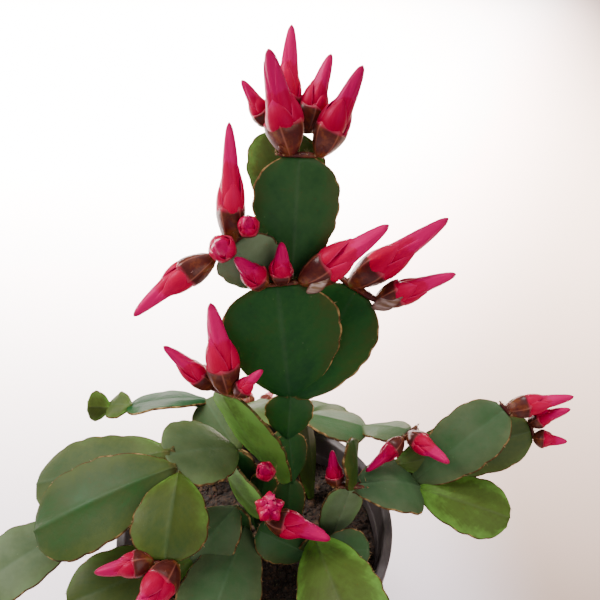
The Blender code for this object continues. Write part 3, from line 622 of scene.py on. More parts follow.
def cladode_material():
    """The waxy skin of the stem segments: satin, deep green under a thin wax, a paler bloom on some that is
    partly a painted sheen, a yellow-green foot and margin, a corky red-brown line along the edge, and a fine
    pitted grain. The green also carries painted light and shade for how each segment is lit, a painted glow
    of light through the margin, and painted shade at the foot of a dark segment and along the midrib. The
    grain is drawn coarser than the real one, so that it shows."""
    made, tree = new_material("waxy_stem_skin_grown")
    place = add(tree, "TexCoord", out="Object")
    across = add(tree, "Attribute", out="Fac", attribute_name="across")
    along = add(tree, "Attribute", out="Fac", attribute_name="along")
    # Each segment's green: partly its own, partly painted light and shade for how the segment is lit
    tone = add(tree, "Attribute", out="Fac", attribute_name="tone")
    # Grey bloom: partly wax, partly a painted sheen
    bloom = add(tree, "Attribute", out="Fac", attribute_name="bloom")
    side = add(tree, "Math", {0: across}, operation="ABSOLUTE")
    # The green: the segment's own with painted light and shade, clouded, yellower at a young foot, painted
    # shade at a dark one's foot and along the midrib, a painted glow at the margin, with fine veins
    mottle = add(tree, "TexNoise", {"Vector": place, "Scale": per_mm(12), "Detail": 4.0, "Roughness": 0.6})
    fine = add(tree, "TexNoise", {"Vector": place, "Scale": per_mm(1.4), "Detail": 3.0})
    mottled = add(tree, "MapRange", {0: mottle, 1: 0.3, 2: 0.7, 3: -0.11, 4: 0.11})
    fined = add(tree, "MapRange", {0: fine, 1: 0.3, 2: 0.7, 3: -0.035, 4: 0.035})
    # Yellower at the foot of a bright segment, painted shade at the foot of a dark one
    foot_tint_and_shade = add(tree, "MapRange", {0: tone, 1: 0.15, 2: 0.4, 3: -0.16, 4: 0.24})
    foot = add(tree, "MapRange", {0: along, 1: 0.42, 2: 0.0, 3: 0.0, 4: foot_tint_and_shade},
               interpolation_type="SMOOTHSTEP")
    # Paler yellow-green towards the margin: partly its own colour, partly a painted glow of light through the
    # thin edge
    rim = add(tree, "MapRange", {0: side, 1: 0.5, 2: 0.97, 3: 0.0, 4: 0.2}, interpolation_type="SMOOTHSTEP")
    # Darker along the midrib: painted shade in its groove
    rib = add(tree, "MapRange", {0: side, 1: 0.09, 2: 0.0, 3: 0.0, 4: -0.06},
              interpolation_type="SMOOTHSTEP")
    slant = add(tree, "Math", {0: side, 1: -0.5, 2: along}, operation="MULTIPLY_ADD")
    narrow = add(tree, "Math", {0: across, 1: 0.12}, operation="MULTIPLY")
    branches = add(tree, "CombineXYZ", {"X": slant, "Y": narrow, "Z": tone})
    veins = add(tree, "TexNoise", {"Vector": branches, "Scale": 16.0, "Detail": 2.0})
    veined = add(tree, "MapRange", {0: veins, 1: 0.34, 2: 0.66, 3: -0.03, 4: 0.03})
    level = add(tree, "Math", {0: tone, 1: mottled}, operation="ADD")
    for part in (fined, foot, rim, rib, veined):
        level = add(tree, "Math", {0: level, 1: part}, operation="ADD")
    green = add(tree, "ValToRGB", {0: level}, stops=(
        (0.0, "#0f3819"), (0.2, "#1b441b"), (0.4, "#2b3e18"), (0.6, "#3a4618"), (0.8, "#425820"),
        (1.0, "#598634"),
    ))
    # The grey bloom, partly a painted sheen, broken by the clouds, with a trace along the midrib
    midrib = add(tree, "MapRange", {0: side, 1: 0.09, 2: 0.0, 3: 0.0, 4: 0.15},
                 interpolation_type="SMOOTHSTEP")
    midrib = add(tree, "Math", {0: midrib, 1: bloom}, operation="ADD")
    haze = add(tree, "Math", {0: midrib, 1: mottle}, operation="MULTIPLY")
    green = add(tree, "Mix", {0: haze, 6: green, 7: "#62745a"}, out=2, data_type="RGBA")
    # The corky line along the edge and round the joint
    broken = add(tree, "TexNoise", {"Vector": place, "Scale": per_mm(2.2), "Detail": 3.0})
    reach = add(tree, "Math", {0: broken, 1: 0.03}, operation="MULTIPLY")
    line = add(tree, "Math", {0: side, 1: reach}, operation="ADD")
    line = add(tree, "MapRange", {0: line, 1: 0.99, 2: 1.015, 3: 0.0, 4: 0.9})
    joint = add(tree, "MapRange", {0: along, 1: 0.03, 2: 0.0, 3: 0.0, 4: 0.4})
    line = add(tree, "Math", {0: line, 1: joint}, operation="MAXIMUM")
    worn = add(tree, "MapRange", {0: tone, 1: 0.45, 2: 0.15, 3: 0.0, 4: 0.16})
    worn = add(tree, "Math", {0: broken, 1: worn}, operation="ADD")
    cork = add(tree, "ValToRGB", {0: worn}, stops=((0.36, "#26160e"), (0.56, "#4e3019"), (0.8, "#9a7c50")))
    colour = add(tree, "Mix", {0: line, 6: green, 7: cork}, out=2, data_type="RGBA")
    # Pale specks, then the sheen and the grain
    speck = add(tree, "TexVoronoi", {"Vector": place, "Scale": per_mm(5)})
    speck = add(tree, "MapRange", {0: speck, 1: 0.05, 2: 0.03, 3: 0.0, 4: 0.25})
    colour = add(tree, "Mix", {0: speck, 6: colour, 7: "#6c8058"}, out=2, data_type="RGBA")
    dull = add(tree, "MapRange", {0: mottle, 1: 0.3, 2: 0.7, 3: 0.4, 4: 0.54})
    dull = add(tree, "Mix", {0: line, 2: dull, 3: 0.75}, data_type="FLOAT")
    grain = add(tree, "TexVoronoi", {"Vector": place, "Scale": per_mm(0.45)})
    bump = add(tree, "Bump", {"Height": grain, "Strength": 0.12, "Distance": 0.00012})
    swell = add(tree, "Bump", {"Height": mottle, "Strength": 0.35, "Distance": 0.0009, "Normal": bump})
    graze = add(tree, "LayerWeight", {"Blend": 0.5}, out="Facing")
    gloss = add(tree, "MapRange", {0: graze, 1: 0.4, 2: 0.9, 3: 1.42, 4: 1.03})
    shader = add(tree, "BsdfPrincipled", {
        "Base Color": colour, "Roughness": dull, "IOR": gloss, "Specular IOR Level": 0.15, "Normal": swell,
    })
    add(tree, "OutputMaterial", {"Surface": shader})
    return made


def petal_material():
    """Closed petals: satin crimson skin, redder at the foot and more magenta upwards, pale along its edges,
    with fine veins that run to the tip."""
    made, tree = new_material("petal_skin_grown")
    along = add(tree, "Attribute", out="Fac", attribute_name="along")
    span = add(tree, "Attribute", out="Fac", attribute_name="across")
    place = add(tree, "TexCoord", out="Object")
    side = add(tree, "Math", {0: span}, operation="ABSOLUTE")
    upwards = add(tree, "Math", {0: along, 1: 0.35}, operation="MULTIPLY")
    drawn = add(tree, "CombineXYZ", {"X": span, "Y": upwards})
    veins = add(tree, "TexNoise", {"Vector": drawn, "Scale": 9.0, "Detail": 4.0, "Roughness": 0.65})
    clouds = add(tree, "TexNoise", {"Vector": place, "Scale": per_mm(6), "Detail": 3.0})
    level = add(tree, "Math", {0: clouds, 1: 0.45, 2: along}, operation="MULTIPLY_ADD")
    level = add(tree, "Math", {0: veins, 1: 0.25, 2: level}, operation="MULTIPLY_ADD")
    colour = add(tree, "ValToRGB", {0: level}, stops=(
        (0.3, "#9a0024"), (0.62, "#a4002c"), (0.95, "#ac003e"), (1.3, "#b80058"),
    ))
    # Darker on some buds: partly their own deeper red, partly painted shade set bud by bud
    deep = add(tree, "Attribute", out="Fac", attribute_name="deep")
    colour = add(tree, "Mix", {0: deep, 6: colour, 7: "#560014"}, out=2, data_type="RGBA")
    edge = add(tree, "MapRange", {0: side, 1: 0.9, 2: 1.0, 3: 0.0, 4: 0.3}, interpolation_type="SMOOTHSTEP")
    colour = add(tree, "Mix", {0: edge, 6: colour, 7: "#dd3f78"}, out=2, data_type="RGBA")
    tip = add(tree, "MapRange", {0: along, 1: 0.93, 2: 1.0, 3: 0.0, 4: 0.6})
    colour = add(tree, "Mix", {0: tip, 6: colour, 7: "#6c0c1e"}, out=2, data_type="RGBA")
    bump = add(tree, "Bump", {"Height": veins, "Strength": 0.25, "Distance": 0.0003})
    graze = add(tree, "LayerWeight", {"Blend": 0.5}, out="Facing")
    gloss = add(tree, "MapRange", {0: graze, 1: 0.4, 2: 0.9, 3: 1.42, 4: 1.08})
    shader = add(tree, "BsdfPrincipled", {
        "Base Color": colour, "Roughness": 0.34, "IOR": gloss, "Specular IOR Level": 0.28,
        "Specular Tint": "#ff5cb0", "Normal": bump,
    })
    add(tree, "OutputMaterial", {"Surface": shader})
    return made


def scale_material():
    """The cup and its scales: hard shiny skin from dark maroon to orange-brown and olive, pale ridges, and
    silvery where a scale has dried."""
    made, tree = new_material("cup_scale_skin_grown")
    along = add(tree, "Attribute", out="Fac", attribute_name="along")
    ridge = add(tree, "Attribute", out="Fac", attribute_name="across")
    dry = add(tree, "Attribute", out="Fac", attribute_name="dry")
    place = add(tree, "TexCoord", out="Object")
    clouds = add(tree, "TexNoise", {"Vector": place, "Scale": per_mm(4), "Detail": 4.0, "Roughness": 0.6})
    fine = add(tree, "TexNoise", {"Vector": place, "Scale": per_mm(0.7), "Detail": 2.0})
    level = add(tree, "Math", {0: along, 1: 0.5, 2: clouds}, operation="MULTIPLY_ADD")
    level = add(tree, "Math", {0: fine, 1: 0.12, 2: level}, operation="MULTIPLY_ADD")
    colour = add(tree, "ValToRGB", {0: level}, stops=(
        (0.38, "#5c4c1e"), (0.5, "#66331c"), (0.64, "#4a1e18"), (0.82, "#3c1416"), (1.05, "#581a1c"),
    ))
    edge = add(tree, "MapRange", {0: ridge, 1: 0.86, 2: 1.0, 3: 0.0, 4: 0.6},
               interpolation_type="SMOOTHSTEP")
    colour = add(tree, "Mix", {0: edge, 6: colour, 7: "#8a5242"}, out=2, data_type="RGBA")
    tip = add(tree, "MapRange", {0: along, 1: 0.285, 2: 0.335, 3: 0.0, 4: 0.9},
              interpolation_type="SMOOTHSTEP")
    colour = add(tree, "Mix", {0: tip, 6: colour, 7: "#a02040"}, out=2, data_type="RGBA")
    drawn = add(tree, "Mapping", {"Vector": place, "Scale": (0.3, 1.2, 3.4)})
    streaks = add(tree, "TexNoise", {"Vector": drawn, "Scale": per_mm(2.2), "Detail": 2.0})
    paper = add(tree, "ValToRGB", {0: streaks}, stops=(
        (0.3, "#6a5238"), (0.5, "#937f74"), (0.66, "#bba9a6"),
    ))
    colour = add(tree, "Mix", {0: dry, 6: colour, 7: paper}, out=2, data_type="RGBA")
    bump = add(tree, "Bump", {"Height": clouds, "Strength": 0.3, "Distance": 0.0005})
    graze = add(tree, "LayerWeight", {"Blend": 0.5}, out="Facing")
    gloss = add(tree, "MapRange", {0: graze, 1: 0.4, 2: 0.9, 3: 1.45, 4: 1.08})
    shader = add(tree, "BsdfPrincipled", {
        "Base Color": colour, "Roughness": 0.28, "IOR": gloss, "Specular IOR Level": 0.2, "Normal": bump,
    })
    add(tree, "OutputMaterial", {"Surface": shader})
    return made


def hair_material(name, light, dark, rough):
    """Dry plant hair or felt: matt, streaked between two browns."""
    made, tree = new_material(name)
    place = add(tree, "TexCoord", out="Object")
    noise = add(tree, "TexNoise", {"Vector": place, "Scale": per_mm(0.8), "Detail": 3.0})
    colour = add(tree, "ValToRGB", {0: noise}, stops=((0.35, dark), (0.65, light)))
    bump = add(tree, "Bump", {"Height": noise, "Strength": 0.6, "Distance": 0.0002})
    shader = add(tree, "BsdfPrincipled", {"Base Color": colour, "Roughness": rough, "Normal": bump})
    add(tree, "OutputMaterial", {"Surface": shader})
    return made


def soil_material():
    """Moist peat soil: nearly black brown, crumbly, with fibres and a dull wet gleam here and there."""
    made, tree = new_material("peat_soil_crumbled")
    place = add(tree, "TexCoord", out="Object")
    lumps = add(tree, "TexVoronoi", {"Vector": place, "Scale": per_mm(2.4)})
    noise = add(tree, "TexNoise", {"Vector": place, "Scale": per_mm(1.5), "Detail": 6.0, "Roughness": 0.7})
    colour = add(tree, "ValToRGB", {0: noise}, stops=(
        (0.32, "#120d0a"), (0.5, "#2b1d14"), (0.64, "#4a3323"), (0.76, "#6e4f38"),
    ))
    wet = add(tree, "MapRange", {0: noise, 1: 0.3, 2: 0.7, 3: 0.6, 4: 0.95})
    height = add(tree, "Math", {0: lumps, 1: noise}, operation="ADD")
    bump = add(tree, "Bump", {"Height": height, "Strength": 0.9, "Distance": 0.0012})
    shader = add(tree, "BsdfPrincipled", {"Base Color": colour, "Roughness": wet, "Normal": bump})
    add(tree, "OutputMaterial", {"Surface": shader})
    return made


def bark_material():
    """Broken bark: matt, brown, split along its grain."""
    made, tree = new_material("bark_chip_broken")
    place = add(tree, "TexCoord", out="Object")
    drawn = add(tree, "Mapping", {"Vector": place, "Scale": (1.0, 4.0, 2.0)})
    noise = add(tree, "TexNoise", {"Vector": drawn, "Scale": per_mm(2.5), "Detail": 5.0, "Roughness": 0.7})
    colour = add(tree, "ValToRGB", {0: noise}, stops=(
        (0.3, "#1d130d"), (0.5, "#3d2819"), (0.68, "#6b4a2e"), (0.8, "#8c6a48"),
    ))
    bump = add(tree, "Bump", {"Height": noise, "Strength": 0.8, "Distance": 0.0008})
    shader = add(tree, "BsdfPrincipled", {"Base Color": colour, "Roughness": 0.85, "Normal": bump})
    add(tree, "OutputMaterial", {"Surface": shader})
    return made


def pot_material():
    """Injection-moulded polypropylene: dark grey-brown with a satin skin, faint flow marks up the wall,
    light scuffs on the rim and a film of soil dust low down."""
    made, tree = new_material("polypropylene_moulded")
    place = add(tree, "TexCoord", out="Object")
    height = add(tree, "SeparateXYZ", {0: place}, out="Z")
    drawn = add(tree, "Mapping", {"Vector": place, "Scale": (1.0, 1.0, 0.08)})
    flow = add(tree, "TexNoise", {"Vector": drawn, "Scale": per_mm(5), "Detail": 3.0})
    dust = add(tree, "TexNoise", {"Vector": place, "Scale": per_mm(7), "Detail": 6.0, "Roughness": 0.7})
    scuff = add(tree, "TexNoise", {"Vector": place, "Scale": per_mm(0.9), "Detail": 5.0, "Roughness": 0.8})
    colour = add(tree, "ValToRGB", {0: flow}, stops=((0.3, "#3c3536"), (0.7, "#4a4244")))
    low = add(tree, "MapRange", {0: height, 1: 0.03, 2: 0.0, 3: 0.0, 4: 0.6})
    film = add(tree, "MapRange", {0: dust, 1: 0.45, 2: 0.75, 3: 0.05, 4: 0.5})
    low = add(tree, "Math", {0: low, 1: 0.25}, operation="ADD")
    film = add(tree, "Math", {0: film, 1: low}, operation="MULTIPLY")
    colour = add(tree, "Mix", {0: film, 6: colour, 7: "#857868"}, out=2, data_type="RGBA")
    worn = add(tree, "MapRange", {0: scuff, 1: 0.62, 2: 0.72, 3: 0.0, 4: 0.3})
    top = add(tree, "MapRange", {0: height, 1: 0.084, 2: 0.088, 3: 0.0, 4: 1.0})
    worn = add(tree, "Math", {0: worn, 1: top}, operation="MULTIPLY")
    colour = add(tree, "Mix", {0: worn, 6: colour, 7: "#8a8280"}, out=2, data_type="RGBA")
    dull = add(tree, "MapRange", {0: dust, 1: 0.3, 2: 0.7, 3: 0.4, 4: 0.56})
    bump = add(tree, "Bump", {"Height": flow, "Strength": 0.25, "Distance": 0.0004})
    bump = add(tree, "Bump", {"Height": scuff, "Strength": 0.1, "Distance": 0.0001, "Normal": bump})
    shader = add(tree, "BsdfPrincipled", {
        "Base Color": colour, "Roughness": dull, "IOR": 1.49, "Normal": bump,
    })
    add(tree, "OutputMaterial", {"Surface": shader})
    return made


# Stem segments

class Segment:
    """One flat stem segment: a spine from its base to its end, and the way its flat side looks."""

    def __init__(self, base, end, width, face, arch, turn):
        self.base = Vector(base)
        self.length = (Vector(end) - self.base).length
        self.heading = (Vector(end) - self.base).normalized()
        face = Vector(face)
        self.normal = (face - face.dot(self.heading) * self.heading).normalized()
        self.across = self.heading.cross(self.normal)
        self.width = width
        self.arch = arch
        self.twist = turn.uniform(-TWIST, TWIST)
        self.cup = turn.uniform(*CUPPING) * width
        self.wave = turn.uniform(*WAVE)
        self.phase = turn.uniform(0, math.tau)
        # Notches on each margin, the depth of the crease along the middle, and how full all relief is
        self.notches = 2 if width < 15 else 3 if width < 24 else 4
        self.fold = min(0.8, 0.2 + 0.2 * arch)
        self.relief = min(1.0, width / FULL_WIDTH)

    def half_width(self, s):
        """Half the width at share s of the length: widest past the middle and rounded at the end."""
        s = min(max(s, 0.0), 1.0)
        swell = math.sin(math.pi * (0.05 + 0.7 * s)) ** 0.8
        corner = 1 - 0.45 * max(0.0, (s - 0.8) / 0.2) ** 2
        return self.width / 2 * swell * corner

    def axes(self, s):
        """The point of the spine at s, with the directions across and out of the flat side there."""
        centre = self.base + self.heading * (self.length * s)
        centre = centre + self.normal * (4 * self.arch * s * (1 - s))
        slope = 4 * self.arch * (1 - 2 * min(max(s, 0.0), 1.0)) / self.length
        out = (self.normal - self.heading * slope).normalized()
        angle = self.twist * (s - 0.3)
        side = self.across * math.cos(angle) + out * math.sin(angle)
        return centre, side, out * math.cos(angle) - self.across * math.sin(angle)

    def at(self, s, x=0.0, lift=0.0):
        """The place x mm across and lift mm out of the flat side, at share s of the length."""
        centre, side, out = self.axes(s)
        share = x / (self.width / 2)
        # The sides curve up or down, and wave along the length
        rise = self.cup * share * share
        rise += self.wave * share * share * math.sin(self.phase + 9 * s + (2 if x > 0 else 0))
        return centre + side * x + out * (lift + rise)

    def half_thickness(self, s):
        """Half the thickness along the middle, more towards the woody base."""
        return RIB_HALF + BASE_SWELL * (1 - min(max(s, 0.0), 1.0)) ** 3

    def notch_shares(self):
        """Shares of the length where the margin dips and an areole sits."""
        step = NOTCH_SPAN / self.notches
        return [NOTCH_START + step * (i + 0.75) for i in range(self.notches)]

    def margin(self, s):
        """How far the margin stands out from or behind the even outline at s."""
        shares = [LOBE_START] + self.notch_shares() + [1.0]
        for low, high in zip(shares, shares[1:]):
            if low <= s <= high:
                part = ((s - low) / (high - low)) ** 1.25
                return self.relief * (LOBE * math.sin(math.pi * part) ** 0.75 - NOTCH)
        return 0.0

    def skin(self):
        """The segment's closed surface, with each point's place across and along, its green with painted
        light and shade, and its bloom with painted sheen.
        """
        columns = tuple(-u for u in SKIN_COLUMNS[:0:-1]) + SKIN_COLUMNS
        around = 2 * len(columns) + 2
        rows = max(SKIN_ROWS, round(self.length * ROWS_PER_MM))
        shares = [-self.sink / self.length, -0.5 * self.sink / self.length]
        shares += [k / rows for k in range(rows + 1)]
        points, across, along = [], [], []
        for s in shares:
            neck = 1 - NECK_PINCH * min(NECK_MOST, max(0.0, 1 - s / NECK_SHARE) ** 2)
            half = (self.half_width(s) + (self.margin(s) if s > LOBE_START else 0.0)) * neck
            rib = self.half_thickness(s) * neck
            for sign, order in ((1, columns), (-1, columns[::-1])):
                for u in order:
                    rise = 0.9 * (1 - u * u) + 0.1 * math.exp(-(u / 0.07) ** 2)
                    body = EDGE_HALF + (rib - EDGE_HALF) * rise
                    crease = self.fold * math.exp(-abs(u) / 0.22) * (1 if self.cup < 0 else -1)
                    points.append(self.at(s, u * half, sign * body + crease * self.relief))
                    across.append(u)
                edge = order[-1]
                points.append(self.at(s, edge * (half + EDGE_OUT), 0.0))
                across.append(edge * 1.02)
            along += [max(s, 0.0)] * around
        end, half = 1 + END_OUT / self.length, 0.9 * (self.half_width(1.0) - NOTCH)
        for sign, order in ((1, columns), (-1, columns[::-1])):
            for u in order:
                points.append(self.at(end, u * half, sign * 0.4 * EDGE_HALF + sign * 0.3 * (1 - u * u)))
            points.append(self.at(end, order[-1] * (half + 0.2), 0.0))
            across += [0.99] * len(order) + [1.0]
        along += [1.0] * around
        return [tuple(p) for p in points], tube_faces(len(shares) + 1, around), {
            "across": across, "along": along,
            "tone": [self.tone] * len(points), "bloom": [self.bloom] * len(points),
        }

    def areoles(self, bare):
        """Where a tuft sits on the margin, and on the end where that is bare, and the way it leans."""
        found = []
        for s in self.notch_shares():
            _, side, _ = self.axes(s)
            half = self.half_width(s) + self.margin(s)
            for sign in (-1, 1):
                found.append((self.at(s, sign * (half + AREOLE_OUT)), side * sign + self.heading * 0.6))
        if bare and self.width >= BARE_END_WIDTH:
            half = self.half_width(1.0) - NOTCH
            for sign in (-0.8, -0.3, 0.3, 0.8):
                found.append((self.at(1.0 + 0.2 / self.length, sign * half), self.heading))
        return found


def grow_segments():
    """Every segment by name, with the stem it belongs to."""
    turn = random.Random(7)
    grown = {}
    for stem, name, parent, along, side, end, width, face, arch, tone, bloom in SEGMENTS:
        if parent is None:
            base = (*ROOTS[stem], SOIL_TOP + 1)
        else:
            old = grown[parent]
            share = min(along, LAST_JOINT)
            base = old.at(share, JOINT_SPREAD * side * old.half_width(share))
        made = Segment(base, end, width, face, arch, turn)
        made.name = name
        made.stem = stem
        made.sink = JOINT_SINK if parent else STEM_SINK
        made.tone = tone
        made.bloom = bloom
        grown[name] = made
    return grown


def tuft_points(name, places):
    """A mesh of loose points, each with the way its tuft leans."""
    mesh = bpy.data.meshes.new(name)
    mesh.from_pydata([tuple(Vector(p) * MM) for p, _ in places], [], [])
    lean = mesh.attributes.new("lean", "FLOAT_VECTOR", "POINT")
    lean.data.foreach_set("vector", [c for _, way in places for c in Vector(way).normalized()])
    return linked(name, mesh)


def grow_tufts(name, places, kind, tree, bristle, felt):
    """A tuft of bristles and felt at each place, as one piece."""
    length, spread, felt_half, seed = kind
    seeds = tuft_points("tuft_points", places)
    mesh = grown_mesh(
        seeds, tree, bristles=BRISTLES, length=length * MM, thickness=BRISTLE_HALF * MM, spread=spread,
        felt=felt_half * MM, seed=seed, bristle_material=bristle, felt_material=felt,
    )
    bpy.data.objects.remove(seeds)
    hairs = linked(name, mesh)
    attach(hairs, "root")


# Buds

def curve_through(stops, t):
    """A smooth curve through (share, value) stops."""
    shares = [s for s, _ in stops]
    t = min(max(t, shares[0]), shares[-1])
    for i in range(len(stops) - 1):
        if t <= shares[i + 1]:
            break
    before = stops[max(i - 1, 0)]
    low, high = stops[i], stops[i + 1]
    after = stops[min(i + 2, len(stops) - 1)]
    part = (t - low[0]) / (high[0] - low[0])
    step = high[0] - low[0]
    a = (high[1] - before[1]) / (high[0] - before[0]) * step
    b = (after[1] - low[1]) / (after[0] - low[0]) * step
    p2, p3 = part * part, part ** 3
    return (low[1] * (2 * p3 - 3 * p2 + 1) + a * (p3 - 2 * p2 + part)
            + high[1] * (3 * p2 - 2 * p3) + b * (p3 - p2))


class Bud:
    """One closed bud: an axis from the segment's end to the bud's tip, its girth, its turn and its bend."""

    def __init__(self, segment, offset, tip, plump, turn):
        centre, side, _ = segment.axes(1.0)
        self.foot = centre + side * offset + segment.heading * FOOT_LIFT
        self.length = (Vector(tip) - self.foot).length
        self.axis = (Vector(tip) - self.foot).normalized()
        self.right = self.axis.cross(Vector(PICTURE_UP)).normalized()
        self.up = self.right.cross(self.axis)
        self.girth = plump * (GIRTH_LEAST + GIRTH_SHARE * self.length)
        self.phase = turn.uniform(0, BUD_TURN)
        self.bend = self.up * (self.length * turn.uniform(*BUD_BEND))

    def placed(self, part):
        """A part built up the Z axis, set on the bud's own bent axis."""
        points, faces, values = part
        points = np.asarray(points, float)
        share = points[:, 2:3] / self.length
        made = np.array(self.foot) + points[:, 0:1] * np.array(self.right)
        made = made + points[:, 1:2] * np.array(self.up) + points[:, 2:3] * np.array(self.axis)
        made = made + np.array(self.bend) * (4 * share * (1 - share))
        return made, faces, values

    def outer_radius(self, t):
        """How far the outer petals stand from the axis at share t of the length."""
        return self.girth / 2 * curve_through(OUTER_BODY, t)

    def inner_radius(self, t):
        """How far the inner petals stand from the axis."""
        return self.girth / 2 * curve_through(INNER_BODY, t)

    def cup_radius(self, t):
        """How far the outside of the cup stands from the axis."""
        wide = curve_through([(a, b) for a, b, _ in CUP_BODY], t)
        thick = curve_through([(a, c) for a, _, c in CUP_BODY], t)
        return self.girth / 2 * wide + thick

    def sheet(self, radius, keel, low, high, span, lift, curl, thick, taper, ridge=2.0):
        """A petal or scale as a closed shell over the bud, keeled along its middle and pointed."""
        outer, inner, across, along = [], [], [], []
        for i in range(SHEET_ROWS + 1):
            v = i / SHEET_ROWS
            t = low + (high - low) * v
            wide = span * (1 - v ** taper) ** 0.75 + 0.012
            base = radius(t) + lift + curl * v ** 5
            for k in range(SHEET_COLUMNS + 1):
                u = 2 * k / SHEET_COLUMNS - 1
                angle = self.phase + SPIRAL * t + wide * u
                # The middle stands up as a keel, and the edges are pressed down
                raised = keel * min(1.0, 16 * v * v) * (1 - abs(u) ** ridge) * (1 - 0.5 * v)
                reach = base + raised - 0.12 * abs(u) ** 3
                depth = thick * (1 - 0.55 * abs(u)) * (1 - 0.5 * v)
                z = t * self.length
                outer.append((reach * math.cos(angle), reach * math.sin(angle), z))
                inner.append(((reach - depth) * math.cos(angle), (reach - depth) * math.sin(angle), z))
                across.append(abs(u))
                along.append(t)
        faces = shell_faces(SHEET_ROWS, SHEET_COLUMNS)
        return outer + inner, faces, {"across": across * 2, "along": along * 2}

    def cone(self):
        """The inner petals, wrapped round each other in a spiral to the tip."""
        points, across, along = [], [], []
        for i in range(CONE_ROWS + 1):
            t = 0.24 + 0.76 * i / CONE_ROWS
            base = self.inner_radius(t)
            for k in range(CONE_COLUMNS):
                angle = self.phase + SPIRAL * t + math.tau * k / CONE_COLUMNS
                # Three petals, each stepping out over the next, and five soft angles
                part = (3 * k / CONE_COLUMNS + 0.8 * t) % 1.0
                step = 0.05 * part ** 3 * min(1.0, 5 * (1 - t))
                star = 0.09 * math.cos(5 * math.tau * k / CONE_COLUMNS) * (1 - t) ** 0.5
                reach = base * (0.97 + step + star)
                points.append((reach * math.cos(angle), reach * math.sin(angle), t * self.length))
                across.append(part ** 3)
                along.append(t)
        return points, tube_faces(CONE_ROWS + 1, CONE_COLUMNS), {"across": across, "along": along}

    def cup(self):
        """The angled cup, its rim in five points and a dish for the petals."""
        shares = (0.0, 0.02, 0.05, 0.08, 0.12, 0.16, 0.20, 0.24, 0.27, 0.30, CUP_SHARE)
        points, across, along = [], [], []
        for t in shares + ("lip", "dish"):
            for k in range(CUP_COLUMNS):
                angle = math.tau * k / CUP_COLUMNS
                ridge = abs((5 * angle / math.tau) % 1.0 - 0.5) * 2
                if t == "dish":
                    share, reach = DISH_SHARE + 0.01, 0.78 * self.girth / 2
                elif t == "lip":
                    share = CUP_SHARE + CUP_ZIGZAG * (ridge ** 2 - 0.4)
                    reach = self.cup_radius(CUP_SHARE) - 0.45
                else:
                    share = t + CUP_ZIGZAG * (ridge ** 2 - 0.4) * (t / CUP_SHARE) ** 2
                    star = 0.17 * min(1.0, t / 0.05) * (1 - 0.55 * t / CUP_SHARE)
                    reach = self.cup_radius(t) * (1 + star * (ridge ** 1.6 - 0.4))
                turned = self.phase + SPIRAL * share + angle
                points.append((reach * math.cos(turned), reach * math.sin(turned), share * self.length))
                across.append(ridge)
                along.append(share)
        return points, tube_faces(len(shares) + 2, CUP_COLUMNS), {"across": across, "along": along}


def whorl(bud, part, tree, layout, seed, look):
    """The part repeated round the bud's axis and set on it."""
    count, turn, jitter, shorter = layout
    points, faces, values = part
    helper = mesh_object("helper", points, faces, [look], values)
    mesh = grown_mesh(
        helper, tree, count=count, turn=turn, jitter=jitter, shorter=shorter, seed=seed, material=look,
    )
    made = bud.placed(mesh_arrays(mesh))
    bpy.data.objects.remove(helper)
    bpy.data.meshes.remove(mesh)
    return made


def petals(name, bud, tree, look, seed):
    """A bud's crimson body: a twisted cone, three long petals on it and three shorter ones over their feet.
    One bud has five ridged points as well."""
    keel = KEEL_SHARE * bud.girth
    outer = bud.sheet(bud.outer_radius, keel, **OUTER_PETAL)
    second = bud.sheet(bud.inner_radius, 0.5 * keel, **LONG_PETAL)
    parts = [
        bud.placed(bud.cone()),
        whorl(bud, second, tree, LONG_WHORL, seed, look),
        whorl(bud, outer, tree, OUTER_WHORL, seed + 1, look),
    ]
    if name == STARRY:
        ridged = bud.sheet(bud.outer_radius, STAR_KEEL, **STAR_PETAL)
        parts.append(whorl(bud, ridged, tree, STAR_WHORL, seed + 2, look))
    points, faces, values = gathered(parts)
    values["deep"] = np.full(len(points), bud.deep)
    return mesh_object(name, points, faces, [look], values)


def bunch_reach(buds):
    """How far a bunch's felted bar goes to each side."""
    return max(max(abs(offset) for offset, _ in buds) + 1.0, BAR_LEAST)


def felt_bar(segment, reach, stout):
    """The low felted bar along the segment's end, from which the cups grow."""
    centre, side, out = segment.axes(1.0)
    forward = out.cross(side)
    points, rows, around = [], 14, 10
    for i in range(rows + 1):
        stop = 2 * i / rows - 1
        size = math.sqrt(max(0.0, 1 - stop ** 4)) * 0.85 + 0.15
        for k in range(around):
            angle = math.tau * k / around
            lumpy = 1 + 0.12 * math.sin(3.1 * i + 2.3 * k)
            high = 1.15 * stout * size * lumpy * math.sin(angle)
            deep = 0.25 + 0.65 * stout * (1 + size * lumpy * math.cos(angle))
            points.append(tuple(centre + side * (stop * reach) + out * high + forward * deep))
    flat = [0.2] * len(points)
    return points, tube_faces(rows + 1, around), {"across": flat, "along": flat}


def dry_scale(bud, across, sunk, size, pale):
    """A dried scale that has come loose at the cup's foot and curls outwards."""
    points, dryness = [], []
    rows, columns = 10, 8
    middle = bud.foot + bud.axis * (0.10 * bud.length + 1.2)
    view = Vector(TO_VIEWER)
    out = (view - view.dot(bud.axis) * bud.axis).normalized()
    side = bud.axis.cross(out)
    for deep in (0.0, 0.25):
        for i in range(rows + 1):
            v = i / rows
            wide = size * 0.36 * math.sin(math.pi * min(0.97, 0.1 + 0.87 * v)) ** 1.1
            for k in range(columns + 1):
                u = 2 * k / columns - 1
                lift = bud.girth * 0.5 + 0.7 * v * v - 0.7 * u * u - deep
                place = middle + out * (lift - sunk) + bud.axis * (size * 1.5 * (v - 0.45))
                points.append(tuple(place + side * (across + wide * u)))
                fade = (1 - abs(u) ** 3) * math.sin(math.pi * min(0.97, 0.06 + 0.94 * v)) ** 0.6
                dryness.append(min(1.0, 1.2 * fade) * pale)
    values = {"across": [0.3] * len(points), "along": [0.2] * len(points), "dry": dryness}
    return points, shell_faces(rows, columns), values


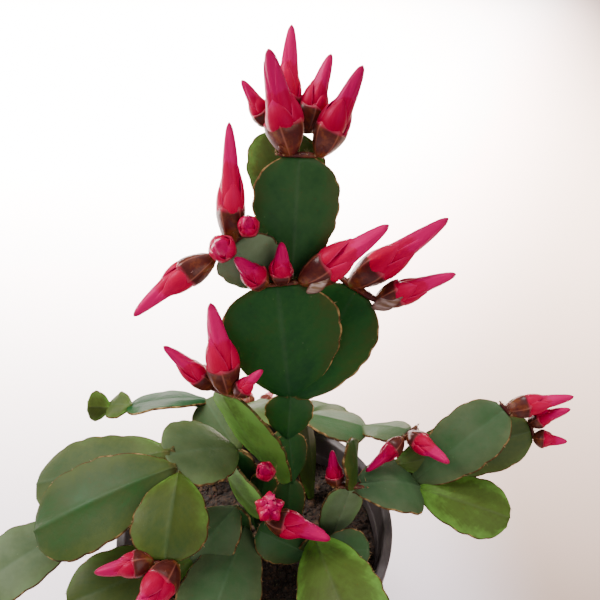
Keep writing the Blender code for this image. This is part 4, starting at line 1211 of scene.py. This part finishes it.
def cups(name, segment, buds, tree, look, seed):
    """The cups of one bunch with their scales, on the felted bar."""
    parts = [felt_bar(segment, bunch_reach(buds), STOUT_BARS.get(segment.name, BAR_STOUT))]
    for k, (_, bud) in enumerate(buds):
        parts.append(bud.placed(bud.cup()))
        sepals = bud.sheet(bud.cup_radius, SCALE_KEEL, **SEPAL)
        scales = bud.sheet(bud.cup_radius, SCALE_KEEL, **FOOT_SCALE)
        parts.append(whorl(bud, sepals, tree, SEPAL_WHORL, seed + 5 * k, look))
        parts.append(whorl(bud, scales, tree, SCALE_WHORL, seed + 5 * k + 1, look))
    if segment.name in DRY_SCALES:
        number, *measures = DRY_SCALES[segment.name]
        parts.append(dry_scale(buds[number][1], *measures))
    points, faces, values = gathered(parts)
    values.setdefault("dry", np.zeros(len(points)))
    return mesh_object(name, points, faces, [look], values)


# Pot and soil

def wall_inside(z):
    """The radius of the pot's inside at height z."""
    share = (z - FLOOR) / (POT_HEIGHT - FLOOR)
    return BASE_RADIUS - WALL + (RIM_RADIUS - COLLAR_STEP - BASE_RADIUS) * share


def rounded(corners, radius, steps=4):
    """The corner points of a profile with each corner rounded."""
    made = [corners[0]]
    for before, corner, after in zip(corners, corners[1:], corners[2:]):
        corner = Vector(corner)
        to, away = Vector(before) - corner, Vector(after) - corner
        cut = min(radius, 0.45 * to.length, 0.45 * away.length)
        start, end = corner + to.normalized() * cut, corner + away.normalized() * cut
        for k in range(steps + 1):
            p = k / steps
            made.append(tuple(start * (1 - p) ** 2 + corner * (2 * p * (1 - p)) + end * p * p))
    return made + [corners[-1]]


def turned_solid(name, profile, sides, looks):
    """A closed body turned from a profile of (radius, height) that starts and ends on the axis."""
    points = [(0.0, 0.0, profile[0][1])]
    for r, z in profile[1:-1]:
        points += [(x, y, z) for x, y in circle(r, sides)]
    points.append((0.0, 0.0, profile[-1][1]))
    return mesh_object(name, points, turned_faces(len(profile) - 2, sides), looks)


def build_pot(look):
    """The pot: a turned wall with a rounded collar, a stacking ledge and a recessed foot with drain holes."""
    collar = POT_HEIGHT - COLLAR_DEPTH
    step = RIM_RADIUS - COLLAR_STEP
    # Up the inside, over the rim, down the outside and under the foot
    corners = (
        (0.0, FLOOR),
        (BASE_RADIUS - WALL - 1.5, FLOOR),
        (BASE_RADIUS - WALL + 0.3, FLOOR + 2),
        (wall_inside(collar - 0.5), collar - 0.5),
        (wall_inside(collar) + 0.5, collar),
        (wall_inside(POT_HEIGHT) + 0.5, POT_HEIGHT),
        (RIM_RADIUS, POT_HEIGHT),
        (RIM_RADIUS - 0.7, collar),
        (step - 0.3, collar - 0.1),
        (step - 0.7, collar - 1.4),
        (BASE_RADIUS + 0.5, 1.5),
        (BASE_RADIUS - 0.8, 0.0),
        (RECESS_OUTER + 0.6, 0.0),
        (RECESS_OUTER, FOOT_RECESS),
        (RECESS_INNER, FOOT_RECESS),
        (RECESS_INNER - 0.6, 0.0),
        (0.0, 0.0),
    )
    pot = turned_solid("nursery_pot", rounded(corners, CORNER_RADIUS), POT_SIDES, [look])
    drains = bpy.data.collections.new("drains")
    for k in range(DRAIN_COUNT):
        angle = math.tau * (k + 0.5) / DRAIN_COUNT
        x, y = DRAIN_CIRCLE * math.cos(angle), DRAIN_CIRCLE * math.sin(angle)
        ring = circle(DRAIN_RADIUS, DRAIN_SIDES)
        points = [(x + dx, y + dy, z) for z in (-1.0, FLOOR + 1) for dx, dy in ring]
        hole = mesh_object(f"drain_{k}", points, tube_faces(2, DRAIN_SIDES), [look])
        bpy.context.scene.collection.objects.unlink(hole)
        drains.objects.link(hole)
    cut = pot.modifiers.new("drain_holes", "BOOLEAN")
    cut.operation = "DIFFERENCE"
    cut.operand_type = "COLLECTION"
    cut.collection = drains
    cut.solver = "MANIFOLD"
    mesh = evaluated_mesh(pot)
    pot.modifiers.clear()
    pot.data = mesh
    for hole in list(drains.objects):
        bpy.data.objects.remove(hole)
    bpy.data.collections.remove(drains)
    smooth_by_angle(pot, SHARP_EDGE)
    return pot


def smooth_by_angle(obj, degrees):
    """Smooth shading, with edges sharper than this angle left sharp."""
    shape = bmesh.new()
    shape.from_mesh(obj.data)
    for edge in shape.edges:
        edge.smooth = len(edge.link_faces) == 2 and edge.calc_face_angle(0.0) < math.radians(degrees)
    for face in shape.faces:
        face.smooth = True
    shape.to_mesh(obj.data)
    shape.free()


def soil_height(x, y):
    """The uneven top of the soil, in mm, sunk a little towards the wall."""
    rise = 0.7 * math.sin(0.21 * x + 0.4) * math.cos(0.17 * y) + 0.45 * math.sin(0.43 * x - 0.36 * y + 1)
    rise += 0.3 * math.sin(0.9 * x + 0.7 * y) * math.cos(0.8 * y - 0.5 * x)
    return SOIL_TOP + rise - 0.8 * (math.hypot(x, y) / 46) ** 4


def build_soil(look, bark, tree):
    """The soil body, a crumbly top of lumps, and bark chips on it."""
    edge = wall_inside(SOIL_TOP) - GAP
    points = [(0.0, 0.0, soil_height(0, 0))]
    for i in range(1, SOIL_RINGS + 1):
        points += [(x, y, soil_height(x, y)) for x, y in circle(edge * i / SOIL_RINGS, SOIL_SIDES)]
    for r, z in ((BASE_RADIUS - WALL - GAP, FLOOR + 2.6), (BASE_RADIUS - WALL - 2.5, FLOOR + GAP)):
        points += [(x, y, z) for x, y in circle(r, SOIL_SIDES)]
    points.append((0.0, 0.0, FLOOR + GAP))
    faces = turned_faces(SOIL_RINGS + 2, SOIL_SIDES)
    made = [mesh_object("potting_soil", points, faces, [look])]
    count = 1 + (SOIL_RINGS - 1) * SOIL_SIDES
    top = mesh_object("soil_top", points[:count], [face for face in faces if max(face) < count], [look])
    looks = {"soil": look, "bark": bark}
    for name, stuff, density, small, large, flat, rough, seed in LOOSE_SOIL:
        mesh = grown_mesh(
            top, tree, density=density, smallest=small * MM, largest=large * MM, flatness=flat,
            roughness=rough * MM, seed=seed, material=looks[stuff],
        )
        mesh.polygons.foreach_set("use_smooth", [True] * len(mesh.polygons))
        made.append(linked(name, mesh))
    bpy.data.objects.remove(top)
    return made


# The stage, lights and camera

def build_stage():
    """A wide pale floor, nearly white at the left, warmer and darker to the right, and nearly white before
    the plant, where painted light lifts the plant's shadow.
    """
    corners = (
        (-FLOOR_SIDE, -FLOOR_SIDE, 0),
        (FLOOR_SIDE, -FLOOR_SIDE, 0),
        (FLOOR_SIDE, FLOOR_BACK, 0),
        (-FLOOR_SIDE, FLOOR_BACK, 0),
    )
    floor = mesh_object("floor", corners, [(0, 1, 2, 3)], [], smooth=False)
    made, tree = new_material("painted_board_matt")
    place = add(tree, "TexCoord", out="Object")
    # Darker and warmer to the right and the front
    along = add(tree, "VectorMath", {0: place, 1: (1.0, -0.5, 0.0)}, out="Value", operation="DOT_PRODUCT")
    shift = add(tree, "MapRange", {0: along, 1: -0.2, 2: 0.1, 3: 0.0, 4: 1.0},
                interpolation_type="SMOOTHSTEP")
    colour = add(tree, "ValToRGB", {0: shift}, stops=((0.0, "#fef1f0"), (0.5, "#e6cdc6"), (1.0, "#b7a093")))
    # But nearly white before the plant: painted light over the plant's shadow
    near = add(tree, "SeparateXYZ", {0: place}, out="Y")
    near = add(tree, "MapRange", {0: near, 1: 0.15, 2: 0.0, 3: 0.0, 4: 0.9}, interpolation_type="SMOOTHSTEP")
    left = add(tree, "SeparateXYZ", {0: place}, out="X")
    left = add(tree, "MapRange", {0: left, 1: 0.14, 2: 0.07, 3: 0.0, 4: 1.0}, interpolation_type="SMOOTHSTEP")
    near = add(tree, "Math", {0: near, 1: left}, operation="MULTIPLY")
    colour = add(tree, "Mix", {0: near, 6: colour, 7: "#f8eef8"}, out=2, data_type="RGBA")
    shader = add(tree, "BsdfPrincipled", {"Base Color": colour, "Roughness": 0.9})
    add(tree, "OutputMaterial", {"Surface": shader})
    floor.data.materials.append(made)


def build_lights():
    """A window at the left, soft light from the front and above, and a beam down on the floor behind."""
    for name, (place, aim, size, power, colour) in LIGHTS.items():
        light = bpy.data.lights.new(name, "AREA")
        light.shape = "DISK"
        light.size = size
        light.energy = power
        light.color = hex_colour(colour)[:3]
        made = linked(name, light)
        made.location = place
        made.rotation_euler = (Vector(aim) - Vector(place)).to_track_quat("-Z", "Y").to_euler()
    wash = bpy.data.lights["backdrop_wash"]
    wash.shape = "RECTANGLE"
    wash.size_y = WASH_DEPTH
    wash.spread = math.radians(WASH_SPREAD)
    world = bpy.data.worlds.new("pale_room")
    world.use_nodes = True
    sky = world.node_tree.nodes["Background"].inputs
    sky["Color"].default_value = hex_colour("#f7f1ef")
    sky["Strength"].default_value = WORLD_STRENGTH
    bpy.context.scene.world = world


def build_camera():
    """The camera at the photograph's place and angle."""
    camera = bpy.data.cameras.new("camera")
    camera.lens = CAMERA_LENS
    camera.sensor_width = 36.0
    camera.clip_start = 0.01
    made = linked("camera", camera)
    made.location = CAMERA_PLACE
    made.rotation_euler = (math.radians(CAMERA_TILT), 0.0, 0.0)
    bpy.context.scene.camera = made


# The plant put together

def build_plant():
    """Stems, bunches of buds, tufts, soil and pot."""
    skin, petal, scale = cladode_material(), petal_material(), scale_material()
    felt = hair_material("areole_felt_dry", "#8f6e4a", "#553a26", 0.95)
    bristle = hair_material("areole_bristle_dry", "#a88a60", "#6a4a2e", 0.6)
    whorls, tufts, crumbs = whorl_tree(), bristle_tree(), crumb_tree()
    grown = grow_segments()
    busy = {row[0] for row in BUDS} | {row[2] for row in SEGMENTS}
    for stem in ROOTS:
        own = [segment for segment in grown.values() if segment.stem == stem]
        points, faces, values = gathered([segment.skin() for segment in own])
        body = mesh_object(f"{stem}_stem", points, faces, [skin], values)
        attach(body, "root")
        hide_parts(f"stem_{stem}")
        places = [place for segment in own for place in segment.areoles(segment.name not in busy)]
        grow_tufts(f"{stem}_areoles", places, NOTCH_TUFTS, tufts, bristle, felt)
    turn = random.Random(11)
    bunches = {}
    for name, offset, tip, plump, deep in BUDS:
        bud = Bud(grown[name], offset, tip, plump, turn)
        bud.deep = deep
        bunches.setdefault(name, []).append((offset, bud))
    for number, (name, buds) in enumerate(bunches.items()):
        holder = cups(f"{name}_cups", grown[name], buds, whorls, scale, 100 * number)
        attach(holder, "root")
        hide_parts(f"cups_{name}")
        for k, (_, bud) in enumerate(buds):
            body = petals(f"{name}_petals_{k + 1}", bud, whorls, petal, 100 * number + 10 * k)
            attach(body, "root")
            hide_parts(f"bud_{name}_{k + 1}")
    grow_tufts("bunch_bristles", bunch_places(grown, bunches), BUNCH_TUFTS, tufts, bristle, felt)
    soil = build_soil(soil_material(), bark_material(), crumbs)
    for piece in soil:
        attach(piece, "root")
    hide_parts("soil")
    pot = build_pot(pot_material())
    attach(pot, "root")
    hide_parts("pot")


def bunch_places(grown, bunches):
    """Where longer bristles stand among the cups of each bunch, and the way they lean."""
    places = []
    for name, buds in bunches.items():
        centre, side, out = grown[name].axes(1.0)
        forward = out.cross(side)
        reach = bunch_reach(buds)
        for k in range(BUNCH_ROWS):
            for sign in (-1, 1):
                share = 2 * k / (BUNCH_ROWS - 1) - 1
                place = centre + side * (reach * share) + out * (0.9 * sign) + forward * 1.2
                places.append((place, forward * 0.7 + out * (0.8 * sign)))
    return places


build_plant()
build_stage()
build_lights()
build_camera()
